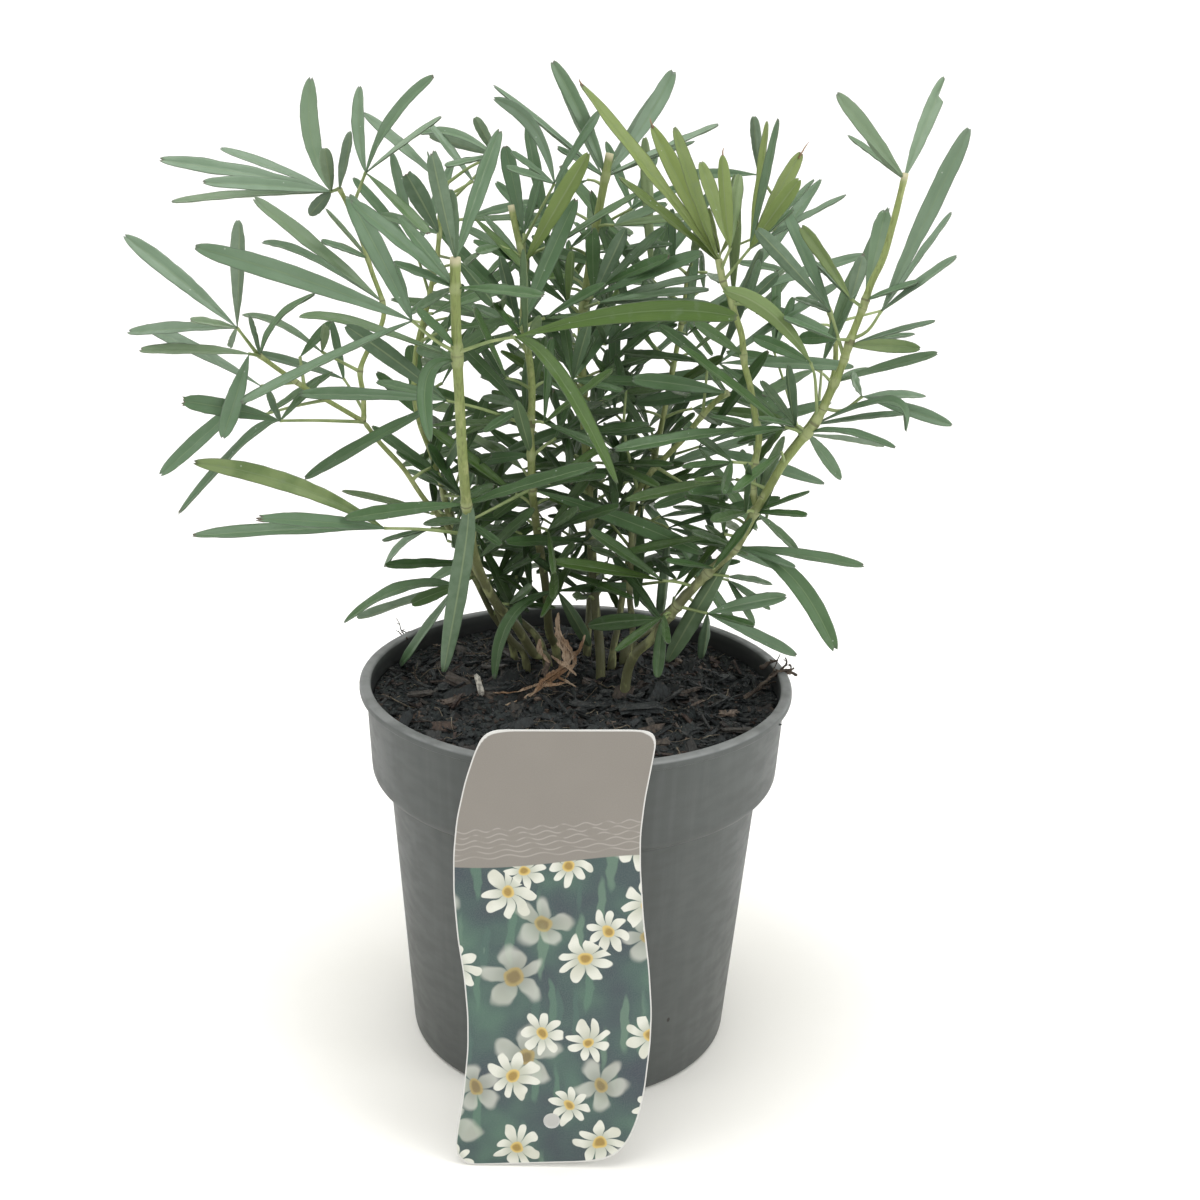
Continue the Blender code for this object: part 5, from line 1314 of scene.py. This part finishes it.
def blade_roll(line, shown, true_width, facing):
    """Return the side of a blade rolled about its length until the wanted width shows from EYE."""
    chord = (line[-1] - line[0]).normalized()
    sight = ((line[0] + line[-1]) / 2 - EYE).normalized()
    across = sight.cross(chord).normalized()
    away = chord.cross(across).normalized()
    roll = math.acos(min(1.0, shown / true_width))
    choices = []
    for turn in (roll, -roll):
        side = across * math.cos(turn) + away * math.sin(turn)
        normal = side.cross(chord)
        if normal.z < 0.0:
            normal = -normal
        choices.append((-facing * normal.dot(sight), side))
    return max(choices, key=lambda choice: choice[0])[1]


def blade_shape(hub, tip, crown, shown, facing, flat, torn, draw, split=False):
    """Bend the flat leaflet's points from the hub over its arch to the tip."""
    length = (tip - hub).length
    middle = (hub + tip) / 2
    if crown is None:
        level = Vector((tip.x - hub.x, tip.y - hub.y)).length / length
        crown = middle + Vector((0, 0, 1)) * ARCH * length * level
    bend = crown * 2 - middle
    true_width = max(shown, min(BLADE_WIDEST, 3.4 + 0.085 * length, 1.0 + 1.8 * shown))
    rise, fall = draw.uniform(0.74, 1.0), draw.uniform(0.38, 0.54)
    if length < SHORT_BLADE:
        rise, fall = rise * 0.85, fall * 0.9
    peak = rise / (rise + fall)
    spots = [(1 - math.cos(math.pi * step / BLADE_ALONG)) / 2 * 0.5 + 0.5 * step / BLADE_ALONG
             for step in range(BLADE_ALONG + 1)]
    line = [hub * (1 - t) ** 2 + bend * 2 * t * (1 - t) + tip * t * t for t in spots]
    side = blade_roll([line[0], line[-1]], shown, true_width, facing)
    waves, phase = draw.uniform(1.6, 3.6), draw.uniform(0, math.tau)
    depth = draw.uniform(0.05, 0.4) * min(1.0, length / 50)
    notch = draw.uniform(0.0, 0.022)
    twist = draw.gauss(0.0, 0.10)
    if side.cross(line[-1] - line[0]).z < 0.0:
        side = -side
    frames = []
    for step, (t, centre) in enumerate(zip(spots, line)):
        ahead = (line[min(step + 1, BLADE_ALONG)] - line[max(step - 1, 0)]).normalized()
        level = (side - ahead * side.dot(ahead)).normalized()
        normal = level.cross(ahead)
        turn = twist * math.sin(math.pi * t)
        rolled = level * math.cos(turn) + normal * math.sin(turn)
        normal = normal * math.cos(turn) - level * math.sin(turn)
        inner = min(max(t, 0.004), 0.996)
        wide = (inner / peak) ** rise * ((1 - inner) / (1 - peak)) ** fall
        if torn:
            wide = max(wide, TORN_WIDTH) if t > 0.5 else wide
        least = 0.55 / true_width if t < 0.3 else 0.05
        half = max(wide, least) * true_width * BLADE_SLIM / 2
        frames.append((centre, rolled, normal, ahead, half))
    rows = np.rint(flat[:, 1] * BLADE_ALONG).astype(int)
    centre, level, normal, ahead = (np.array([frame[axis] for frame in frames])[rows] for axis in range(4))
    half = np.array([frame[4] for frame in frames])[rows]
    across, lift, t = flat[:, 0], flat[:, 2], np.array(spots)[rows]
    ragged = np.array([noise.noise(Vector((a * 3, b * 14, phase))) for a, b in zip(across, t)])
    half = half * (1 + 0.08 * ragged * np.abs(across))
    if split:
        half = half * np.where((across > 0) & (t > 0.80), 0.15, 1.0)
    dip = -BLADE_CHANNEL * half * (1 - np.abs(across) ** 1.4)
    groove = -0.30 * np.exp(-(across / 0.10) ** 2) * np.minimum(1, half / 1.5)
    ripple = depth * across ** 2 * np.sin(waves * math.tau * t + phase + across) * np.sin(math.pi * t)
    pucker = 0.10 * np.sin(34 * t + 3.0 * np.abs(across)) * (1 - np.abs(across)) * (half > 1.5)
    thick = BLADE_THICK * (1 - 0.55 * np.abs(across) ** 3) * np.minimum(1, 0.35 + half / 2)
    ridge = np.where(lift < 0, 0.30 * np.exp(-(across / 0.12) ** 2), 0.0)
    up = dip + groove + ripple + pucker + lift * thick - ridge
    back = (1 - np.abs(across)) * notch * length * (t > 0.9)
    if torn:
        back += 0.05 * length * ragged * (t > 0.93)
    points = centre + level * (across * half)[:, None] + normal * up[:, None] - ahead * back[:, None]
    return points * MM


def near_any(spot, places):
    """Return the listed place that a sighted tip is at, or None."""
    for place in places:
        if math.hypot(spot[0] - place[0], spot[1] - place[1]) < TIP_REACH:
            return place
    return None


def leaf_shade_and_tone(hub, tip, shift, draw):
    """Return a leaflet's tone: its painted light (painted shade inside the shrub, paler and greyer painted
    sheen outside), young and brown-tipped.
    """
    out = math.hypot((tip.x - SHADE_CORE_X) / SHADE_CORE_REACH, (tip.z - SHADE_CORE_Z) / SHADE_CORE_REACH)
    light = min(1.0, max(0.0, 0.85 * out ** 1.4 + shift + draw.gauss(0.0, 0.10)))
    young = max(0.0, draw.gauss(0.08, 0.10))
    brown = max(0.0, draw.gauss(0.0, 0.35))
    return [light, min(1.0, young), min(1.0, brown), 1.0]


def petiole(way):
    """Sweep a petiole, a little swollen at both ends."""
    way = smooth_way(way, PETIOLE_STEP)
    last = len(way) - 1
    radii = [PETIOLE_FOOT + (PETIOLE_TOP - PETIOLE_FOOT) * index / last for index in range(len(way))]
    radii[0] *= 1.25
    radii[-1] *= 1.3
    return swept(way, radii, 1)


def solid_leaves(stem, flat, draw):
    """Bend a leaflet to every tip of the stem's solid, and sweep the petioles of its leaves."""
    solid = np.array([corner.co for corner in frame["nodes"][stem].data.vertices]) / MM
    stretch = (solid[:, 1] - EYE.y) / -EYE.y
    seen_x = EYE.x + (solid[:, 0] - EYE.x) / stretch
    seen_z = EYE.z + (solid[:, 2] - EYE.z) / stretch
    routes = STEMS[stem]["routes"]
    made = {"shapes": [], "tones": [], "petioles": [], "spikes": []}
    for (path, depth, tips), facing in leaf_list(stem):
        start = on_route(routes, *path[0])[1]
        hub = sighted(*start)
        if len(path) > 1:
            steps = len(path) - 1
            hub_depth = start[2] if depth is None else depth
            way = [hub] + [sighted(x, z, start[2] + (hub_depth - start[2]) * (number + 1) / steps)
                           for number, (x, z) in enumerate(path[1:])]
            hub = way[-1]
            made["petioles"].append(petiole(way))
        shift = draw.gauss(0.0, 0.08)
        for tip in tips:
            end = Vector(solid[int(np.argmin(np.hypot(seen_x - tip[0], seen_z - tip[1])))])
            crown = sighted(tip[3], tip[4], (hub.y + end.y) / 2) if len(tip) > 3 else None
            bow = near_any(tip, BOWED_TIPS)
            if bow:
                along = Vector((tip[0] - path[-1][0], 0, tip[1] - path[-1][1])).normalized()
                crown = (hub + end) / 2 + Vector((along.z, 0, -along.x)) * bow[2]
            torn, spike = near_any(tip, TORN_TIPS), near_any(tip, SPIKED_TIPS)
            wide = tip[2] * (near_any(tip, WIDE_TIPS) or (0, 0, 1.0))[2]
            made["shapes"].append(blade_shape(hub, end, crown, wide, facing, flat, torn, draw,
                                              near_any(tip, SPLIT_TIPS)))
            tone = leaf_shade_and_tone(hub, end, shift, draw)
            for slot, places in ((1, YOUNG_TIPS), (0, PAINTED_LIGHT_TIPS)):
                if near_any(tip, places):
                    tone[slot] = near_any(tip, places)[2]
            if torn or spike:
                tone[2] = 1.0
            if spike:
                ahead = (end - hub).normalized() * spike[2] / 2
                hook = [end - ahead, end + ahead + Vector((0.2, 0, 0.1))]
                hook.append(end + ahead * 2 + Vector((0.6, 0, 0.1)))
                made["spikes"].append(swept(hook, SPIKE, 1))
            made["tones"].append(tone)
    return made


def extra_leaves(stem, flat, made, draw):
    """Grow the stem's leaves that stand between the others."""
    for grown, near, hub, depth, tips in EXTRA_LEAVES:
        if grown == stem:
            start = sighted(*on_route(STEMS[stem]["routes"], *near)[1])
            hub = sighted(*hub, depth)
            made["petioles"].append(petiole([start, (start + hub) / 2 + Vector((0, 0, 0.4)), hub]))
            for x, z, wide, step in tips:
                tip = sighted(x, z, depth + step)
                made["shapes"].append(blade_shape(hub, tip, None, wide, 1, flat, False, draw))
                made["tones"].append(leaf_shade_and_tone(hub, tip, 0.0, draw))
                if wide < 2.5:
                    made["tones"][-1][1] = 0.8


def seen(point):
    """Return the x and z at which a point is sighted from EYE on the plane y = 0."""
    stretch = (point.y - EYE.y) / -EYE.y
    return EYE.x + (point.x - EYE.x) / stretch, EYE.z + (point.z - EYE.z) / stretch


def inner_leaves(stem, low, high, flat, taken, made, draw):
    """Grow opposite pairs of small leaves up the stem wherever they stay clear and inside."""
    settled = KDTree(len(taken[0]))
    for number, point in enumerate(taken[0]):
        settled.insert(point, number)
    settled.balance()
    fresh = np.full((1, 3), 9.0)
    route = [sighted(*point) for point in STEMS[stem]["routes"][0]]
    route = smooth_way(route, 1.0)
    quarter = draw.uniform(0, math.tau)
    height = low
    probe = np.nonzero((flat[:, 1] > 0.2) & (np.arange(len(flat)) % 9 == 0))[0]
    while height < high:
        start = min(route, key=lambda point: abs(point.z - height))
        for side in range(2):
            turn = quarter + math.pi * side + draw.gauss(0.0, 0.2)
            out = Vector((math.cos(turn), math.sin(turn), draw.uniform(0.15, 0.7))).normalized()
            hub = start + out * draw.uniform(6.0, 13.0)
            # Inner leaves are painted a little darker: painted shade inside the shrub.
            shift = draw.gauss(-0.05, 0.06)
            grown = 0
            for fan in draw.sample(INNER_FAN, 4):
                way = turn + fan
                rise = draw.gauss(0.35, 0.50)
                length = draw.uniform(*INNER_LENGTH) * (1.0 - 0.25 * abs(fan))
                level = math.cos(rise)
                ahead = Vector((math.cos(way) * level, math.sin(way) * level, math.sin(rise)))
                tip = hub + ahead * length
                seen_x, seen_z = seen(tip)
                if math.hypot((seen_x - INNER_X) / INNER_WIDE, (seen_z - INNER_Z) / INNER_TALL) > 1.0:
                    continue
                if tip.z < POT_HEIGHT + 4 or math.hypot(tip.x, tip.y) > INNER_ROUND:
                    continue
                spots = [seen(hub.lerp(tip, share)) for share in (0.25, 0.5, 0.75, 1.0)]
                if any(math.hypot(x - spot_x, z - spot_z) < reach for x, z, reach in OPEN_SPOTS
                       for spot_x, spot_z in spots):
                    continue
                wide = 2.6 + 0.072 * length
                shape = blade_shape(hub, tip, None, wide * draw.uniform(0.6, 1.0), 1, flat, False, draw)
                points = shape[probe]
                if min(settled.find(point)[2] for point in points) < INNER_CLEAR * MM:
                    continue
                if np.sqrt(((points[:, None, :] - fresh[None, :, :]) ** 2).sum(2)).min() < INNER_CLEAR * MM:
                    continue
                fresh = np.concatenate((fresh, points))
                made["shapes"].append(shape)
                tone = leaf_shade_and_tone(hub, tip, shift, draw)
                tone[1] = min(0.7, max(0.0, draw.gauss(0.22, 0.14)))
                made["tones"].append(tone)
                grown += 1
            if grown:
                made["petioles"].append(petiole([start, (start + hub) / 2 + Vector((0, 0, 0.6)), hub]))
        quarter += math.pi / 2
        height += draw.uniform(*INNER_STEP)
    taken[0] = np.concatenate((taken[0], fresh[1:]))


leaf_upper = new_material("leaf_upper", 0.42, 0.40)
place = object_place(leaf_upper)
across, along = apart(flat_place(leaf_upper, "blade"))[:2]
aside = sums('ABSOLUTE', minus(across, 0.5))
light, young, brown = channels(stored(leaf_upper, "leaf_shade_and_tone")["Color"])
mottle = cloudy(place, (75, 75, 75), 4.0)
glands = cloudy(place, (900, 900, 900), 2.0)
bloom = cloudy(place, (260, 260, 260), 5.0)
slant = minus(times(along, 13.0), times(aside, 9.0))
wobble = plus(slant, times(mottle, 1.4))
veins = sums('ABSOLUTE', sums('SINE', times(wobble, math.pi)))
vein_line = between(veins, 0.22, 0.0)
midrib = between(aside, 0.040, 0.014)
# The painted light picks the green: deep green as painted shade inside the shrub, pale grey-green as
# painted sheen outside.
green_place = plus(times(light, 0.75), times(mottle, 0.35))
green = ramp(green_place, (0.10, (0.024, 0.059, 0.011)), (0.40, (0.050, 0.110, 0.033)),
             (0.70, (0.097, 0.168, 0.087)), (1.0, (0.170, 0.246, 0.162)))
olive = ramp(plus(green_place, times(young, 0.5)), (0.55, (0.060, 0.115, 0.016)),
             (0.95, (0.115, 0.172, 0.034)), (1.0, (0.185, 0.245, 0.068)))
green = washed(green, olive, young, 0.05, 0.75)
green = mixed(times(vein_line, 0.16), green, (0.120, 0.180, 0.090))
green = mixed(times(midrib, 0.42), green, (0.180, 0.250, 0.120))
green = washed(green, (0.074, 0.088, 0.066), aside, 0.440, 0.490, 0.50)
green = washed(green, (0.16, 0.21, 0.15), bloom, 0.55, 0.75, 0.22)
tipped = times(between(plus(along, times(bloom, 0.04)), 0.985, 1.01), brown)
green = mixed(tipped, green, (0.115, 0.075, 0.035))
violet = times(between(plus(along, times(bloom, 0.10)), 0.99, 1.07), 0.45)
green = mixed(violet, green, (0.120, 0.110, 0.118))
# Tiny pale specks on the leaves: painted glints of light.
painted_glints = speckled(place, (190, 190, 190))
green = washed(green, (0.42, 0.47, 0.40), painted_glints, 0.065, 0.045, 0.55)
dress(leaf_upper, green, between(bloom, 0.35, 0.70, 0.36, 0.52),
      ((vein_line, 0.35, -0.18), (glands, 0.14, 0.06), (bloom, 0.25, 0.15)))

leaf_under = new_material("leaf_under", 0.6, 0.3)
place = object_place(leaf_under)
across, along = apart(flat_place(leaf_under, "blade"))[:2]
aside = sums('ABSOLUTE', minus(across, 0.5))
light, young, brown = channels(stored(leaf_under, "leaf_shade_and_tone")["Color"])
felt = cloudy(place, (300, 300, 300), 5.0)
# Underneath too, the painted light darkens the leaves inside the shrub and pales those outside.
pale = ramp(plus(times(light, 0.6), times(felt, 0.4)),
            (0.15, (0.042, 0.080, 0.034)), (0.50, (0.086, 0.138, 0.078)), (0.95, (0.205, 0.270, 0.190)))
fresh = ramp(light, (0.1, (0.090, 0.150, 0.030)), (0.9, (0.230, 0.300, 0.100)))
pale = washed(pale, fresh, young, 0.05, 0.75)
pale = washed(pale, (0.25, 0.31, 0.16), aside, 0.06, 0.025, 0.45)
dress(leaf_under, pale, between(felt, 0.3, 0.7, 0.52, 0.68), ((felt, 0.3, 0.15),))

petiole_green = new_material("petiole_green", 0.5, 0.4)
place = object_place(petiole_green)
blush = cloudy(place, (120, 120, 120), 3.0)
stalk = ramp(blush, (0.3, (0.160, 0.220, 0.080)), (0.6, (0.260, 0.320, 0.130)),
             (0.8, (0.350, 0.390, 0.200)))
dress(petiole_green, stalk, None, ((blush, 0.3, 0.3),))

dry_tip = new_material("dry_tip", 0.7, 0.3)
place = object_place(dry_tip)
blush = cloudy(place, (400, 400, 400), 3.0)
dress(dry_tip, mixed(blush, (0.20, 0.115, 0.065), (0.36, 0.24, 0.15)), None, ((blush, 0.4, 0.2),))

draw = random.Random(42)
master = blade_master()
flat_points = np.array([corner.co for corner in master.data.vertices])
foliage = {stem: solid_leaves(stem, flat_points, draw) for stem in STEMS}
stem_points = [[corner.co for corner in piece.data.vertices][::3] for piece in wood.values()]
leaf_points = [shape[::12] for made in foliage.values() for shape in made["shapes"]]
taken = [np.concatenate([np.array(points) for points in stem_points + leaf_points])]
for stem, low, high in INNER_STEMS:
    inner_leaves(stem, low, high, flat_points, taken, foliage[stem], draw)
extra_draw = random.Random(77)
for stem, made in foliage.items():
    extra_leaves(stem, flat_points, made, extra_draw)
    leaves = copied(stem + "_leaves", master, made["shapes"], made["tones"], "leaf_shade_and_tone")
    for material in (leaf_upper, leaf_under):
        leaves.data.materials.append(material)
    for stalk in made["petioles"]:
        stalk.data.materials.append(petiole_green)
    for spike in made["spikes"]:
        spike.data.materials.append(dry_tip)
    finish_piece(joined([leaves] + made["petioles"] + made["spikes"]), stem + "_leaves", "foliage", stem)
bpy.data.objects.remove(master)

# Stage: a white sweep under and behind the shrub, with a faint warm painted shadow on it round the
# pot's foot, soft light from a broad box overhead and from both sides, and the camera at the spot from
# which the shrub was measured.
SWEEP_FRONT = -2.2
SWEEP_BACK = 1.6
SWEEP_HIGH = 3.4
SWEEP_ROUND = 0.9
SWEEP_WIDE = 7.0
CAMERA_DOWN = math.radians(19.22)
CAMERA_ROLL = math.radians(1.62)
CAMERA_LENS = 49.15

start_piece()
bpy.ops.mesh.primitive_plane_add(size=1.0)
sweep = bpy.context.object
bpy.ops.object.mode_set(mode='EDIT')
bpy.ops.mesh.select_all(action='SELECT')
bpy.ops.mesh.delete(type='VERT')
bpy.ops.object.mode_set(mode='OBJECT')
profile = [(SWEEP_FRONT, 0.0), (0.0, 0.0), (SWEEP_BACK - SWEEP_ROUND, 0.0)]
for step in range(1, 17):
    turn = math.pi / 2 * step / 16
    forward = SWEEP_ROUND * (1 - math.sin(turn))
    profile.append((SWEEP_BACK - forward, SWEEP_ROUND * (1 - math.cos(turn))))
profile.append((SWEEP_BACK, SWEEP_HIGH))
points = [(side * SWEEP_WIDE / 2, y, z) for y, z in profile for side in (-1, 1)]
strips = [(2 * i, 2 * i + 1, 2 * i + 3, 2 * i + 2) for i in range(len(profile) - 1)]
sweep.data.from_pydata(points, [], strips)
sweep.data.update()
sweep.data.shade_smooth()
sweep.name = "white_sweep"
sweep_paper = new_material("sweep_paper", 0.9, 0.1)
place = object_place(sweep_paper)
fibre = cloudy(place, (30, 30, 30), 3.0)
paper = mixed(fibre, (0.95, 0.945, 0.92), (0.98, 0.975, 0.96))
# Round the pot's foot the paper is darkened and warmed: a painted shadow with a ragged edge.
floor_x, floor_y = apart(place)[:2]
spread = plus(times(floor_x, floor_x), times(floor_y, floor_y))
spread = plus(spread, times(fibre, 0.006))
dress(sweep_paper, mixed(between(spread, 0.010, 0.036, 0.60, 0.0), paper, (0.86, 0.845, 0.775)))
sweep.data.materials.append(sweep_paper)

world = bpy.data.worlds.new("studio")
bpy.context.scene.world = world
world.use_nodes = True
world.node_tree.nodes["Background"].inputs["Color"].default_value = (1.0, 1.0, 1.0, 1.0)
tree = world.node_tree
depth = apart(add_node(tree, "ShaderNodeTexCoord").outputs["Generated"])[1]
tree.links.new(between(depth, -0.95, 0.15, 0.64, 0.94), tree.nodes["Background"].inputs["Strength"])
for name, spot, size, power in (("overhead box", (-0.15, -0.05, 1.7), 1.3, 17.0),
                                ("left box", (-1.6, -0.9, 0.9), 1.0, 6.6),
                                ("right box", (1.6, -0.9, 0.9), 1.0, 14.5)):
    lamp = bpy.data.lights.new(name, 'AREA')
    lamp.shape = 'SQUARE'
    lamp.size = size
    lamp.energy = power
    box = bpy.data.objects.new(name, lamp)
    box.location = spot
    box.rotation_euler = (Vector((0, 0, 0.2)) - Vector(spot)).to_track_quat('-Z', 'Y').to_euler()
    bpy.context.scene.collection.objects.link(box)

camera = bpy.data.objects.new("camera", bpy.data.cameras.new("camera"))
camera.data.lens = CAMERA_LENS
camera.data.sensor_width = 36.0
camera.data.clip_start = 0.01
right, up = Vector((1, 0, 0)), Vector((0, math.sin(CAMERA_DOWN), math.cos(CAMERA_DOWN)))
back = right.cross(up)
rolled_right = right * math.cos(CAMERA_ROLL) + up * math.sin(CAMERA_ROLL)
rolled_up = up * math.cos(CAMERA_ROLL) - right * math.sin(CAMERA_ROLL)
turned = Matrix((rolled_right, rolled_up, back)).transposed().to_4x4()
camera.matrix_world = Matrix.Translation(EYE * MM) @ turned
bpy.context.scene.collection.objects.link(camera)
bpy.context.scene.camera = camera
bpy.context.scene.view_settings.view_transform = 'Standard'
